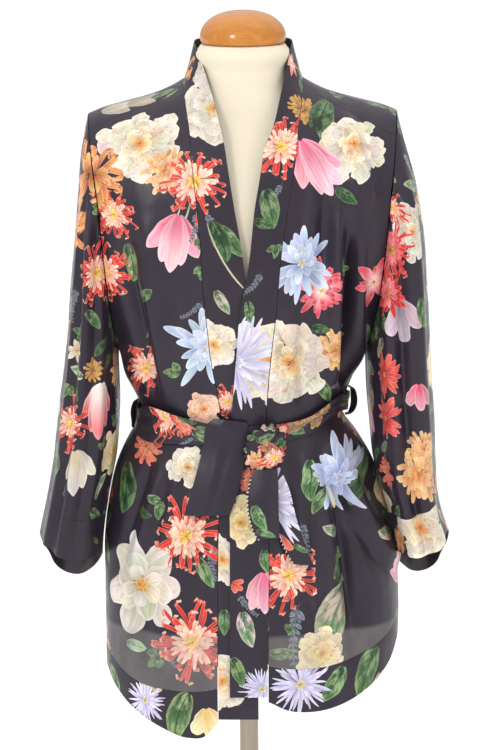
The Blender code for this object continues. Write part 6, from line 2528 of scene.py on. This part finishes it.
class SetStage(bpy.types.Operator):
    """Sets the floor, the sky, the soft lights and the camera"""

    bl_idname = "kimono.set_stage"
    bl_label = "Stage"

    def execute(self, context):
        scene = context.scene
        scene.view_settings.view_transform = "Standard"
        verts = [(x, y, 0.0) for y in (-FLOOR_REACH, FLOOR_REACH) for x in (-FLOOR_REACH, FLOOR_REACH)]
        mesh = bpy.data.meshes.new("floor")
        mesh.from_pydata(verts, [], [(0, 1, 3, 2)])
        floor = linked("floor", mesh)
        made, tree, shader = material("paper")
        place = object_place(tree)
        paper = mixed(tree, noise(tree, place, 3.0, 2.0), (0.90, 0.90, 0.90, 1.0), (0.94, 0.94, 0.94, 1.0))
        tree.links.new(paper, shader.inputs["Base Color"])
        shader.inputs["Roughness"].default_value = 0.9
        floor.data.materials.append(made)
        world = bpy.data.worlds.new("studio")
        scene.world = world
        world.use_nodes = True
        sky, background = world.node_tree, world.node_tree.nodes["Background"]
        background.inputs[0].default_value = (1.0, 1.0, 1.0, 1.0)
        height = add(sky, "ShaderNodeSeparateXYZ", {0: add(sky, "ShaderNodeTexCoord").outputs["Generated"]}).outputs[2]
        glow = maths(sky, "MULTIPLY_ADD", maths(sky, "MAXIMUM", height, 0.0), SKY_RISE, SKY_LOW)
        sky.links.new(glow, background.inputs[1])
        for name, place, target, size, power in LIGHTS:
            data = bpy.data.lights.new(name, "AREA")
            data.shape, data.size, data.size_y, data.energy = "RECTANGLE", size[0], size[1], power
            light = linked(name, data)
            light.location = place
            light.rotation_euler = (Vector(target) - Vector(place)).to_track_quat("-Z", "Y").to_euler()
        data = bpy.data.cameras.new("camera")
        data.sensor_fit, data.sensor_height, data.lens = "VERTICAL", 36.0, 18 / math.tan(math.radians(CAMERA_HALF_VIEW))
        data.clip_end = 50.0
        camera = linked("camera", data)
        e, r = math.radians(CAMERA_TILT), math.radians(CAMERA_ROLL)
        ahead = Vector((0, math.cos(e), -math.sin(e)))
        up = Vector((0, math.sin(e), math.cos(e)))
        right = Vector((1, 0, 0)) * math.cos(r) - up * math.sin(r)
        above = Vector((1, 0, 0)) * math.sin(r) + up * math.cos(r)
        turn = Matrix((right, above, -ahead)).transposed().to_4x4()
        camera.matrix_world = Matrix.Translation((0.0053, -4.2, 1.85)) @ turn
        scene.camera = camera
        return {"FINISHED"}


PIECES = (BuildForm, BuildStand, CutFronts, CutBack, CutSleeves, CutNeckbands, TieBelt, SetStage)


class KimonoPanel(bpy.types.Panel):
    """The pieces and their settings"""

    bl_idname = "VIEW3D_PT_kimono"
    bl_label = "Kimono on a dress form"
    bl_space_type = "VIEW_3D"
    bl_region_type = "UI"
    bl_category = "Kimono"

    def draw(self, context):
        for settings in (context.scene.kimono_cloth, context.scene.kimono_form):
            box = self.layout.box()
            for key in settings.__annotations__:
                box.prop(settings, key)
        for piece in PIECES:
            self.layout.operator(piece.bl_idname)


CLASSES = (ClothSettings, FormSettings, *PIECES, KimonoPanel)


def register():
    for made in CLASSES:
        bpy.utils.register_class(made)
    bpy.types.Scene.kimono_cloth = bpy.props.PointerProperty(type=ClothSettings)
    bpy.types.Scene.kimono_form = bpy.props.PointerProperty(type=FormSettings)


def unregister():
    del bpy.types.Scene.kimono_form
    del bpy.types.Scene.kimono_cloth
    for made in reversed(CLASSES):
        bpy.utils.unregister_class(made)


def main():
    register()
    for piece in PIECES:
        group_name, name = piece.bl_idname.split(".")
        getattr(getattr(bpy.ops, group_name), name)()


if __name__ == "__main__":
    main()
